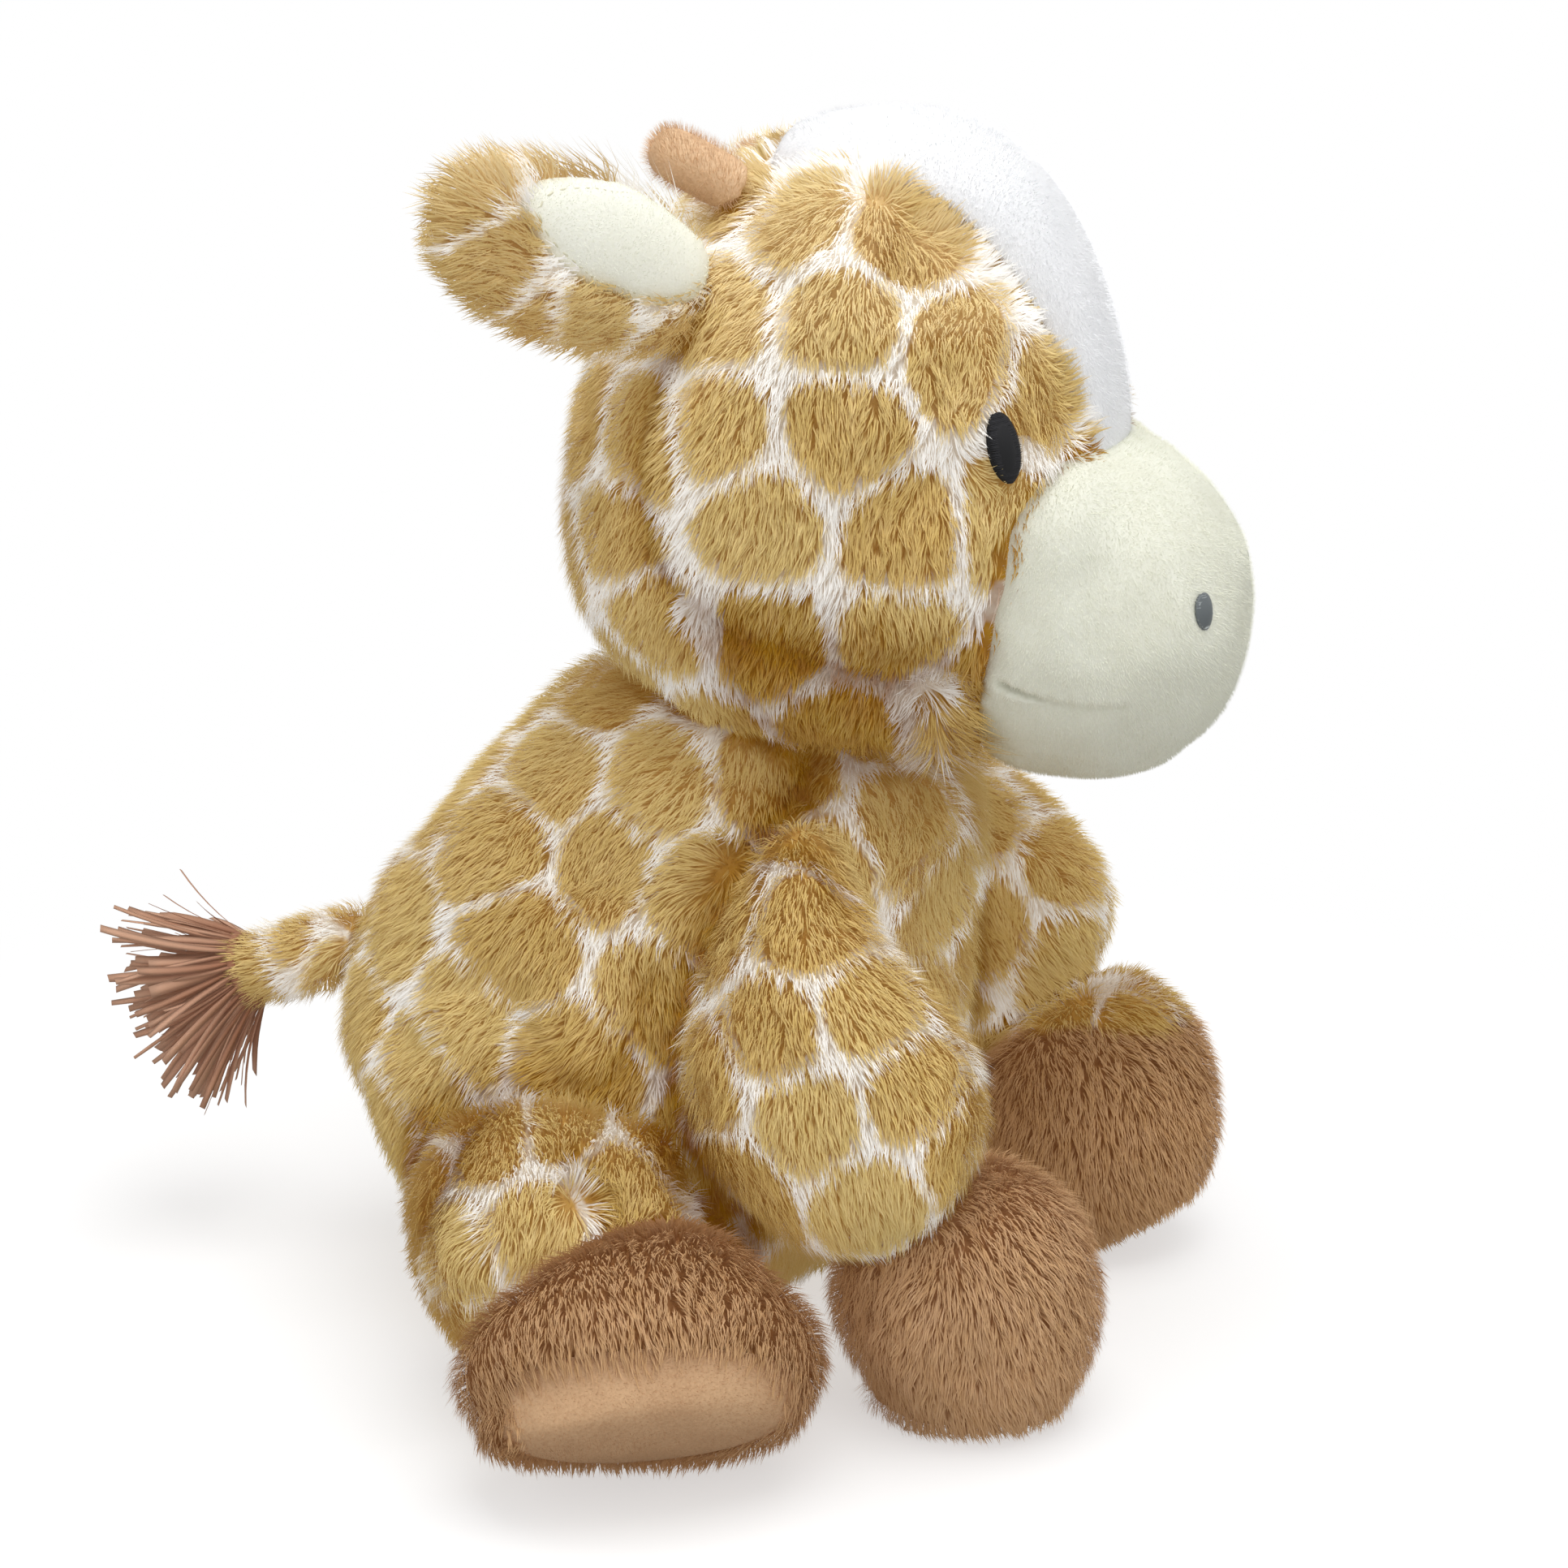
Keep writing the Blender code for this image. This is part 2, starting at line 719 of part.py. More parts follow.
def strip_rings(row_radius, lean, turn):
    """Cross sections of one flat strip from its root outwards."""
    side = right.cross(tail_line).normalized()
    outwards = right * math.cos(turn) + side * math.sin(turn)
    across = tail_line.cross(outwards)
    start = tail_end + tail_line * plug_length * tassel_root_share + outwards * row_radius * step
    rings = []
    for share in tassel_strip_place_shares:
        bend = math.radians(lean) * min(1, tassel_first_lean_share + share)
        way = tail_line * math.cos(bend) + outwards * math.sin(bend)
        way -= up * math.sin(math.radians(tassel_droop)) * share
        thin = way.cross(across).normalized()
        centre = start + way.normalized() * tassel_strip_length_shares * step * share
        grow = 1 + (tassel_tip_width_share - 1) * share
        wide = across * tassel_strip_width_shares * step * grow / 2
        flat = thin * tassel_strip_thickness_shares * step / 2
        rings.append([centre - wide - flat, centre + wide - flat,
                      centre + wide + flat, centre - wide + flat])
    return rings


bpy.ops.mesh.primitive_cylinder_add(vertices=stitch_sides, depth=plug_length,
                                    radius=tassel_plug_radius_shares * step)
tassel = bpy.context.object
tassel.name = tassel.data.name = "tassel"
plug_middle = tail_end + tail_line * plug_length * tassel_plug_lead_share
tassel.data.transform(Matrix.Translation(plug_middle)
                      @ up.rotation_difference(tail_line).to_matrix().to_4x4())
for home in list(tassel.users_collection):
    home.objects.unlink(tassel)
parts.objects.link(tassel)
strips = bmesh.new()
for count, row_radius, lean in tassel_row_shares:
    for i in range(count):
        strip = loft("strip", strip_rings(row_radius, lean, math.tau * (i + 0.5) / count),
                     None, 0)
        strips.from_mesh(strip.data)
        drop(strip)
strip_mesh = bpy.data.meshes.new("strips")
strips.to_mesh(strip_mesh)
strips.free()
strip_set = new_object("strips", strip_mesh)
carve(tassel, strip_set, "UNION")
drop(strip_set)
cut_through_range(tassel, tail_form)
tassel.data.materials.clear()
tassel.data.materials.append(felt)

drop(head_form, muzzle_form, tail_form)


# Every moving piece turns about its own origin, and what rides on it is its child
def hang(target, point, parent=None, parent_point=None):
    here = Vector((0, 0, 0)) if point is None else place(point)
    target.data.transform(Matrix.Translation(-here))
    target.location = here if parent_point is None else here - place(parent_point)
    target.parent = parent


hang(head, neck_point_shares, body)
for rider in (muzzle, blaze, horn_right, horn_left, eye_right, eye_left, nostril_right,
              nostril_left):
    hang(rider, neck_point_shares, head, neck_point_shares)
hang(tail, tail_point_shares, body)
hang(tassel, tail_point_shares, tail, tail_point_shares)


for side, ear, lining in ((1, ear_right, ear_lining_right), (-1, ear_left, ear_lining_left)):
    point = ear_point_shares if side == 1 else other_side(ear_point_shares)
    hang(ear, point, head, neck_point_shares)
    hang(lining, point, ear, point)
for side, point, leg, hoof, pad in (
        (1, shoulder_point_shares, front_leg_right, front_hoof_right, front_sole_right),
        (-1, shoulder_point_shares, front_leg_left, front_hoof_left, front_sole_left),
        (1, hip_point_shares, rear_leg_right, rear_hoof_right, rear_sole_right),
        (-1, hip_point_shares, rear_leg_left, rear_hoof_left, rear_sole_left)):
    point = point if side == 1 else other_side(point)
    hang(leg, point, body)
    hang(hoof, point, leg, point)
    hang(pad, point, leg, point)
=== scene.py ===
# %% [markdown]
# # A seated plush giraffe
#
# The toy is sewn from long patterned fur, short cream and white pile, felt and thread.
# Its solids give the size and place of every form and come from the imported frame.
# This lesson dresses them: stuffed skins first, then pile, then embroidery and tassel.

import json
import math

import bmesh
import bpy
import numpy as np
from mathutils import Matrix, Vector
from mathutils.bvhtree import BVHTree
from mathutils.kdtree import KDTree

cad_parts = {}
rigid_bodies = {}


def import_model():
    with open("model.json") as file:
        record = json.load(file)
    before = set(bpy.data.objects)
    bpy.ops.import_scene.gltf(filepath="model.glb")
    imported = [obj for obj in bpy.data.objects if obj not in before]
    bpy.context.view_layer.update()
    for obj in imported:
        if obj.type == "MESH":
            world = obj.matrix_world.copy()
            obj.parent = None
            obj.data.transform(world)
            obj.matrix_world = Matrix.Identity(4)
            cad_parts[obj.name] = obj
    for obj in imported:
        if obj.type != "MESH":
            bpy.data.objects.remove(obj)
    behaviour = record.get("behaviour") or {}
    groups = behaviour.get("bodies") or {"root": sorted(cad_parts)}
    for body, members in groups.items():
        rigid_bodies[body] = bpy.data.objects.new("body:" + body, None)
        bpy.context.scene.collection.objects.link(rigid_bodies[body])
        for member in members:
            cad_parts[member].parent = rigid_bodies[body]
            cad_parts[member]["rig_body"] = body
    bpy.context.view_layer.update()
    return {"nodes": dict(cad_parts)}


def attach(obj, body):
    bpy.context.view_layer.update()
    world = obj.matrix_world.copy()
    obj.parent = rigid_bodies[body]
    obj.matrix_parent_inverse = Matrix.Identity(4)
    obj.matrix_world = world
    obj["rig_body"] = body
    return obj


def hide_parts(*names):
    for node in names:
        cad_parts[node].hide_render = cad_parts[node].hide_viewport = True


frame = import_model()
for stray in [o for o in bpy.data.objects if o.name in ("Cube", "Light", "Camera")]:
    bpy.data.objects.remove(stray, do_unlink=True)
nodes = frame["nodes"]
MM = 0.001

# %% [markdown]
# ## Camera
#
# The photograph looks at the toy's right side from a little in front and above.
# A camera could be placed by eye, but the legs and muzzle then never line up.
# Here its turn, rise, distance and lens come from fitting named points of the toy.

# %% Camera
TURN, RISE, DISTANCE = math.radians(-74), math.radians(18), 1.05
TARGET = Vector((-0.00327, -0.01596, 0.13377))
SENSOR, LENS = 36.0, 100.76

back = Vector((math.sin(TURN) * math.cos(RISE), -math.cos(TURN) * math.cos(RISE), math.sin(RISE)))
camera_data = bpy.data.cameras.new("camera")
camera_data.lens = LENS
camera_data.sensor_width = SENSOR
camera = bpy.data.objects.new("camera", camera_data)
bpy.context.scene.collection.objects.link(camera)
camera.location = TARGET + back * DISTANCE
camera.rotation_euler = back.to_track_quat("Z", "Y").to_euler()
bpy.context.scene.camera = camera
print("camera at", [round(c, 3) for c in camera.location])

# %% [markdown]
# ## Light
#
# A shop picture has a white room: light from every side and one broad soft source above.
# One strong lamp would give hard shadows between the strands of pile.
# So a plain pale world fills, and three large area lamps give the forms their shading.
# The strongest hangs overhead: in the picture the muzzle is nearly white on top and grey below.

# %% Light
LAMPS = {"key_lamp": ((-1.3, -0.9, 1.2), 1.3, 5.5), "fill_lamp": ((-1.2, 1.2, 0.9), 1.4, 3),
         "top_lamp": ((-0.3, -0.3, 1.85), 1.4, 20.5)}
LIT = Vector((0, 0, 0.15))


def lamp(name, place, size, power):
    """A square area lamp that points at the toy."""
    data = bpy.data.lights.new(name, "AREA")
    data.size = size
    data.energy = power
    made = bpy.data.objects.new(name, data)
    bpy.context.scene.collection.objects.link(made)
    made.location = place
    made.rotation_euler = (Vector(place) - LIT).to_track_quat("Z", "Y").to_euler()


for name, values in LAMPS.items():
    lamp(name, *values)
scene = bpy.context.scene
scene.view_settings.view_transform = "Standard"
world = bpy.data.worlds.new("studio")
scene.world = world
world.use_nodes = True

# %% [markdown]
# ## Working with sockets as numbers
#
# Shader and geometry trees are sums and mixes of fields.
# Placing each node by hand makes a recipe hard to read.
# A small class wraps a socket, so that a sum written in Python adds its own Math nodes,
# and one function adds any other node: its settings first, then its sockets.

# %% Fields
class Field:
    """One output of a node, which can stand in a sum as a number does."""

    def __init__(self, tree, socket):
        self.tree, self.socket = tree, socket

    def _sum(self, operation, first, second):
        return node(self.tree, "ShaderNodeMath", {"operation": operation}, {0: first, 1: second})

    def __add__(self, other):
        return self._sum("ADD", self, other)

    def __sub__(self, other):
        return self._sum("SUBTRACT", self, other)

    def __rsub__(self, other):
        return self._sum("SUBTRACT", other, self)

    def __mul__(self, other):
        return self._sum("MULTIPLY", self, other)

    def __rtruediv__(self, other):
        return self._sum("DIVIDE", other, self)

    __radd__, __rmul__ = __add__, __mul__


def node(tree, kind, settings=None, inputs=None, output=0):
    """Adds a node, sets it, fills its sockets with values or links, and gives one output."""
    made = tree.nodes.new(kind)
    for name, value in (settings or {}).items():
        setattr(made, name, value)
    for key, value in (inputs or {}).items():
        if isinstance(value, Field):
            tree.links.new(value.socket, made.inputs[key])
        else:
            made.inputs[key].default_value = value
    if output is None:
        return made
    return Field(tree, made.outputs[output])


def attribute(tree, name):
    """A number that the mesh keeps, for its finish to read."""
    return node(tree, "ShaderNodeAttribute", {"attribute_name": name}, output="Fac")


def noise(tree, scale, detail=2.0):
    """Noise on object coordinates, its scale in bumps a metre."""
    place = node(tree, "ShaderNodeTexCoord", output="Object")
    return node(tree, "ShaderNodeTexNoise", {}, {"Vector": place, "Scale": scale, "Detail": detail}, "Fac")


def vector_sum(tree, operation, first, second, output=0):
    """Vector Math on two vectors; SCALE takes a number as its second."""
    key = "Scale" if operation == "SCALE" else 1
    return node(tree, "ShaderNodeVectorMath", {"operation": operation}, {0: first, key: second}, output)


def mix_colour(tree, share, first, second):
    """Two colours mixed by a share."""
    return node(tree, "ShaderNodeMix", {"data_type": "RGBA"},
                {0: share, 6: first, 7: second}, 2)


def stretch(tree, value, low, high, to_low=0.0, to_high=1.0):
    """A value's range moved smoothly to another one."""
    return node(tree, "ShaderNodeMapRange", {"interpolation_type": "SMOOTHSTEP"},
                {0: value, 1: low, 2: high, 3: to_low, 4: to_high})


def rgba(*colour):
    """An sRGB colour, 0 to 255, as linear light; none is near black."""
    return (*(((c / 255 + 0.055) / 1.055) ** 2.4 for c in colour), 1)


def new_material(name, rough=0.9, **plain):
    """A material with its tree and shader; plain values go on the shader's own sockets."""
    made = bpy.data.materials.new(name)
    made.use_nodes = True
    shader = made.node_tree.nodes["Principled BSDF"]
    shader.inputs["Roughness"].default_value = rough
    for key, value in plain.items():
        shader.inputs[key.replace("_", " ")].default_value = value
    return made, made.node_tree, shader


def show(made, colour, shines=False):
    """Links a colour to a finish; with a painted glow the same colour also goes to emission, in place of
    light passed on inside the pile.
    """
    shader = made.node_tree.nodes["Principled BSDF"]
    made.node_tree.links.new(colour.socket, shader.inputs["Base Color"])
    if shines:
        made.node_tree.links.new(colour.socket, shader.inputs["Emission Color"])
        made.cycles.emission_sampling = "NONE"


print("fields ready")

# %% [markdown]
# ## World and floor
#
# The room shows white behind the toy, yet its light has to stay at a plain level.
# Light Path tells a camera ray from a light ray, so both can be had:
# white for the eye and for reflections, and a softer grey for what lights the fur.
# The floor keeps the toy's soft shadow near it and turns plain white farther away.

# %% World and floor
ROOM_LIGHT = 0.46
tree = world.node_tree
tree.nodes.clear()
path = node(tree, "ShaderNodeLightPath", output=None)
seen = Field(tree, path.outputs["Is Camera Ray"])
for kind in ("Is Glossy Ray", "Is Transmission Ray"):
    seen = node(tree, "ShaderNodeMath", {"operation": "MAXIMUM"},
                {0: seen, 1: Field(tree, path.outputs[kind])})
glow = node(tree, "ShaderNodeBackground", {},
            {"Color": (1, 1, 1, 1), "Strength": seen * (1 - ROOM_LIGHT) + ROOM_LIGHT})
node(tree, "ShaderNodeOutputWorld", {}, {"Surface": glow}, None)

# The floor's half width in metres, its grey, how much brighter the camera sees it,
# and the distances between which its shadow fades into plain white
FLOOR_WIDE, FLOOR_GREY, FLOOR_LIFT, SHADOW_NEAR, SHADOW_FAR = 6.0, 0.5, 0.56, 0.16, 0.34
floor_data = bpy.data.meshes.new("floor")
corners = [(x * FLOOR_WIDE, y * FLOOR_WIDE, 0) for x, y in ((-1, -1), (1, -1), (1, 1), (-1, 1))]
floor_data.from_pydata(corners, [], [(0, 1, 2, 3)])
floor = bpy.data.objects.new("floor", floor_data)
scene.collection.objects.link(floor)
floor_finish, tree, shader = new_material("white_floor", 0.9)
shader.inputs["Base Color"].default_value = (FLOOR_GREY, FLOOR_GREY, FLOOR_GREY, 1)
seen = node(tree, "ShaderNodeLightPath", output="Is Camera Ray")
lift = node(tree, "ShaderNodeEmission", {}, {"Strength": seen * FLOOR_LIFT})
lit = node(tree, "ShaderNodeAddShader", {}, {0: Field(tree, shader.outputs[0]), 1: lift})
away = node(tree, "ShaderNodeVectorMath", {"operation": "LENGTH"},
            {0: node(tree, "ShaderNodeTexCoord", output="Object")}, 1)
white = node(tree, "ShaderNodeEmission", {}, {"Strength": 1.0})
both = node(tree, "ShaderNodeMixShader", {}, {0: seen * stretch(tree, away, SHADOW_NEAR, SHADOW_FAR),
                                              1: lit, 2: white})
tree.links.new(both.socket, tree.nodes["Material Output"].inputs["Surface"])
floor_data.materials.append(floor_finish)
print("floor and room are white")

# %% [markdown]
# ## Stuffed skins
#
# Every stuffed form is cloth held out by filling. The solids give the outer height of the
# pile, so the cloth lies a pile's depth inside them.
# A plain copy would keep the solids' facets. A voxel remesh gives even faces, a push inwards
# makes room for the pile, and a short cloth simulation under pressure rounds it out.

# %% Meshes in and out
def rows_from(items, key):
    """A vector from each item of a mesh, as the rows of an array."""
    out = np.empty(len(items) * 3, np.float32)
    items.foreach_get(key, out)
    return out.reshape(-1, 3).astype(float)


def points_of(mesh):
    return rows_from(mesh.vertices, "co")


def normals_of(mesh):
    return rows_from(mesh.vertex_normals, "vector")


def put_points(mesh, points):
    mesh.vertices.foreach_set("co", np.asarray(points, np.float32).ravel())
    mesh.update()


def lift_off_floor(mesh, least):
    """Keeps every corner of a mesh at least so high."""
    points = points_of(mesh)
    points[:, 2] = np.maximum(points[:, 2], least)
    put_points(mesh, points)


def along_cloth(ways, out):
    """What is left of some directions when they may only run along the cloth."""
    return ways - out * (ways * out).sum(1, keepdims=True)


def store(mesh, name, values):
    """Keeps one number or one vector for each vertex."""
    values = np.asarray(values, np.float32)
    kind, key = ("FLOAT", "value") if values.ndim == 1 else ("FLOAT_VECTOR", "vector")
    made = mesh.attributes.new(name, kind, "POINT")
    made.data.foreach_set(key, values.ravel())


def shade_smooth(mesh):
    mesh.polygons.foreach_set("use_smooth", np.ones(len(mesh.polygons), bool))


def dressed(mesh, finish):
    """Gives a mesh one finish and smooth shading."""
    mesh.materials.clear()
    mesh.materials.append(finish)
    shade_smooth(mesh)


def settled(piece):
    """Swaps a piece's mesh for what its modifiers make."""
    graph = bpy.context.evaluated_depsgraph_get()
    made = bpy.data.meshes.new_from_object(piece.evaluated_get(graph))
    old = piece.data
    piece.modifiers.clear()
    piece.data = made
    made.name = piece.name
    bpy.data.meshes.remove(old)
    return piece


def subdivided(piece, levels):
    finer = piece.modifiers.new("finer", "SUBSURF")
    finer.levels = finer.render_levels = levels
    return settled(piece)


def new_piece(name, mesh):
    made = bpy.data.objects.new(name, mesh)
    scene.collection.objects.link(made)
    shade_smooth(mesh)
    return made


def reworked(mesh, work):
    """Runs a function on a mesh's editable form."""
    made = bmesh.new()
    made.from_mesh(mesh)
    work(made)
    made.to_mesh(mesh)
    made.free()
    return mesh


def faced_outwards(mesh):
    return reworked(mesh, lambda made: bmesh.ops.recalc_face_normals(made, faces=made.faces))


def merged_copy(name):
    """A solid's own triangles with their doubles merged."""
    mesh = nodes[name].data.copy()
    reworked(mesh, lambda made: bmesh.ops.remove_doubles(made, verts=made.verts, dist=1e-6))
    mesh.materials.clear()
    for extra in [a.name for a in mesh.attributes if not a.is_required]:
        mesh.attributes.remove(mesh.attributes[extra])
    return mesh


def tree_of(mesh):
    return BVHTree.FromPolygons([v.co for v in mesh.vertices], [tuple(p.vertices) for p in mesh.polygons])


print("solids to read:", sum(len(made.data.polygons) for made in nodes.values()), "triangles")

# %% [markdown]
# One solid is changed before the cloth is laid. The muzzle's panel is fuller at its upper
# corners, where it is sewn to the face: a superellipsoid joins the muzzle there, as a
# stand-in for the filling that presses into the corners.

# %% Outer forms
COLLAR_MIDDLE, COLLAR_HALF, COLLAR_FULL = np.array((0, -84, 195)) * MM, np.array((43.5, 20, 32)) * MM, 3.0
outer = {name: merged_copy(name) for name in nodes}


def collar_radius(points):
    """Distance from the collar's middle in shares of its size."""
    return (np.abs((points - COLLAR_MIDDLE) / COLLAR_HALF) ** COLLAR_FULL).sum(1) ** (1 / COLLAR_FULL)


def add_collar(made):
    """Adds a ball stretched to the collar's form."""
    corners = bmesh.ops.create_icosphere(made, subdivisions=5, radius=1.0)["verts"]
    ball = np.array([v.co for v in corners]) * COLLAR_HALF
    ball /= collar_radius(ball + COLLAR_MIDDLE)[:, None]
    for v, spot in zip(corners, ball + COLLAR_MIDDLE):
        v.co = spot


reworked(outer["muzzle"], add_collar)
outer_tree = {name: tree_of(mesh) for name, mesh in outer.items()}
print("solids merged:", sum(len(m.vertices) for m in outer.values()), "corners")

# %% Even faces
def even_form(name, voxel, smoothing, shape):
    """A form remeshed to even faces and smoothed."""
    piece = new_piece(name, shape)
    remesh = piece.modifiers.new("even", "REMESH")
    remesh.mode = "VOXEL"
    remesh.voxel_size = voxel
    relax = piece.modifiers.new("relax", "SMOOTH")
    relax.factor = 0.5
    relax.iterations = smoothing
    return settled(piece)


def even_tree(voxel, smoothing, shape):
    """A smooth form for rays to find."""
    piece = even_form("even", voxel, smoothing, shape)
    tree = tree_of(piece.data)
    bpy.data.objects.remove(piece)
    return tree


def mirrored_to_right(points):
    side = points.copy()
    side[:, 0] = -np.abs(side[:, 0])
    return side


def smoothstep(value, low, high):
    t = np.clip((value - low) / (high - low), 0, 1)
    return t * t * (3 - 2 * t)


def nearest(points, trees):
    """Distance from each point to the nearest of some forms."""
    best = np.full(len(points), 1.0)
    for form in trees:
        for i, p in enumerate(points):
            hit = form.find_nearest(Vector(p), best[i])
            if hit[0] is not None:
                best[i] = min(best[i], hit[3])
    return best


print("forms for rays:", len(outer_tree))

# %% [markdown]
# The white blaze, the eyes and the muzzle sit at the height of the pile's tips,
# so the head's cloth rises towards them and its pile gets shorter there.
# The rear soles and the linings are ovals sewn on in the same way. Each of these has an
# outline, and a function that says how far a point is from its middle in shares of it.

# %% Blaze, eye and sole outlines
# The blaze: degrees round the head's middle, and half its width there
BLAZE_RINGS = np.array([(-6, 18), (14, 19), (32, 22), (48, 25), (64, 27), (80, 28), (94, 26),
                        (104, 18)], float)
BLAZE_TOP, BLAZE_FOOT = BLAZE_RINGS[-1, 0], BLAZE_RINGS[0, 0]
HEAD_MIDDLE = np.array((0, -30, 218)) * MM
EYE_PLACE = np.array((-45, -79, 230)) * MM
EYE_FACING = Vector((-0.72, -0.70, 0.08)).normalized()
EYE_WIDE, EYE_HIGH, EYE_TILT = 4.6 * MM, 8.8 * MM, math.radians(12)


def blaze_distance(points):
    """How far outside the blaze's outline a point of the head lies; inside it, less than 0."""
    away = points - HEAD_MIDDLE
    angle = np.degrees(np.arctan2(away[:, 2], -away[:, 1]))
    wide = np.interp(angle, BLAZE_RINGS[:, 0], BLAZE_RINGS[:, 1]) * MM
    radius = np.hypot(away[:, 1], away[:, 2])
    past = np.radians(np.maximum(np.maximum(angle - BLAZE_TOP, BLAZE_FOOT - angle), 0)) * radius
    across = np.abs(away[:, 0]) - wide
    return np.where((across < 0) & (past == 0), across, np.hypot(np.maximum(across, 0), past))


def eye_distance(points):
    """Distance from the eye's middle in shares of its half size, on either side."""
    away = mirrored_to_right(points) - EYE_PLACE
    across = np.array(EYE_FACING.cross(Vector((0, 0, 1))).normalized())
    u, v = away @ across, away[:, 2]
    return np.hypot((u * math.cos(EYE_TILT) - v * math.sin(EYE_TILT)) / EYE_WIDE,
                    (v * math.cos(EYE_TILT) + u * math.sin(EYE_TILT)) / EYE_HIGH)


# The rear sole is an oval on the hoof: its middle, facing and half sizes
SOLE_MIDDLE = np.array((-128, -22, 24)) * MM
SOLE_FACING = Vector((-0.70, -0.33, -0.63)).normalized()
SOLE_ALONG = Vector((0.45, -0.89, 0))
SOLE_ALONG = (SOLE_ALONG - SOLE_FACING * SOLE_ALONG.dot(SOLE_FACING)).normalized()
SOLE_ACROSS = SOLE_FACING.cross(SOLE_ALONG)
SOLE_LONG, SOLE_SHORT, SOLE_BEHIND, FAR_OFF = 33 * MM, 20 * MM, 18 * MM, 9.0


def sole_radius(points):
    """Distance from the rear sole's middle in shares of its half size; far behind it, 9."""
    away = mirrored_to_right(points) - SOLE_MIDDLE
    radius = np.hypot(away @ np.array(SOLE_ALONG) / SOLE_LONG, away @ np.array(SOLE_ACROSS) / SOLE_SHORT)
    return np.where(away @ np.array(SOLE_FACING) > -SOLE_BEHIND, radius, FAR_OFF)


print("blaze, eyes and soles outlined")

# %% Lining outlines
EAR_ROOT, EAR_TIP = Vector((-46, -9, 258)) * MM, Vector((-94, 39, 286)) * MM
EAR_LINE = EAR_TIP - EAR_ROOT
EAR_FACE = Vector((-0.76, -0.63, 0.10))
EAR_FACE = (EAR_FACE - EAR_LINE.normalized() * EAR_FACE.dot(EAR_LINE.normalized())).normalized()
EAR_ACROSS = EAR_LINE.normalized().cross(EAR_FACE)
LINING_MIDDLE = EAR_ROOT + EAR_LINE * 0.36 + EAR_ACROSS * 7.6 * MM
# The lining's outline, millimetres along the ear and across it: broad at the root, narrow at the tip
LINING_OUTLINE = np.array(((29.5, 2.6), (17, 7.7), (6.5, 10.1), (-4, 11.2), (-16, 10.2), (-26.5, 7.0),
                           (-28, 2.0), (-24, -4.0), (-16, -9.0), (-8, -10.8), (-0.6, -10.5),
                           (12, -8.4), (23.5, -3.6)))
EAR_PIVOT, EAR_THICK, EAR_DROOP = Vector((-52, -3, 262)) * MM, 10 * MM, math.radians(-50)


def to_left(vector, turn_only=False):
    """The left ear is the right one mirrored and drooping about its root."""
    mirror = Vector((-1, 1, 1))
    flipped, pivot = mirror * vector, mirror * EAR_PIVOT * (0 if turn_only else 1)
    return Matrix.Rotation(EAR_DROOP, 3, Vector((0, -1, 0))) @ (flipped - pivot) + pivot


ROUNDINGS = 6
turns = np.arctan2(LINING_OUTLINE[:, 1], LINING_OUTLINE[:, 0])
outline_turn = np.linspace(-math.pi, math.pi, 72, endpoint=False)
outline_far = np.interp(outline_turn, turns, np.hypot(*LINING_OUTLINE.T), period=math.tau)
for _ in range(ROUNDINGS):
    outline_far = (np.roll(outline_far, 1) + 2 * outline_far + np.roll(outline_far, -1)) / 4


def lining_frame(side):
    """The lining's middle and its three directions: out of the ear, along it and across it."""
    centre, face, long_way, across = LINING_MIDDLE, EAR_FACE, EAR_LINE.normalized(), EAR_ACROSS
    if side == "left":
        centre = to_left(centre)
        face, long_way, across = (to_left(v, True) for v in (face, long_way, across))
    return centre, face, long_way, across


def lining_radius(points, side):
    """Distance from the lining's middle in shares of its outline; on the ear's back, 9."""
    centre, face, long_way, across = (np.array(v) for v in lining_frame(side))
    away = points - centre
    u, v = away @ long_way, away @ across
    far = np.interp(np.arctan2(v, u), outline_turn, outline_far, period=math.tau) * MM
    return np.where(away @ face > -EAR_THICK, np.hypot(u, v) / far, FAR_OFF)


def joined(name, other):
    """Two solids' corners and faces in one mesh, for a voxel remesh to merge."""
    return reworked(outer[name].copy(), lambda made: made.from_mesh(outer[other]))


print("linings outlined at", len(outline_far), "places")

# %% Forms
# Each form: voxel, depth of its pile, length of its strands, all in metres
FORMS = {"body": (0.0040, 0.0046, 0.0076), "head": (0.0036, 0.0044, 0.0072)}
for kind, sizes in (("front_leg", (0.0030, 0.0042, 0.0074)), ("rear_leg", (0.0030, 0.0042, 0.0076)),
                    ("front_hoof", (0.0030, 0.0038, 0.0068)), ("rear_hoof", (0.0030, 0.0038, 0.0070)),
                    ("ear", (0.0018, 0.0024, 0.0086))):
    FORMS.update({f"{kind}_{side}": sizes for side in ("right", "left")})
FORMS["tail"] = (0.0020, 0.0034, 0.0068)
body_of = {node_name: nodes[node_name]["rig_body"] for node_name in nodes}
PUFF_FRAMES, TINY = 14, 1e-9
# The share of the pile's depth that is left under an eye
EYE_INSET = 0.62


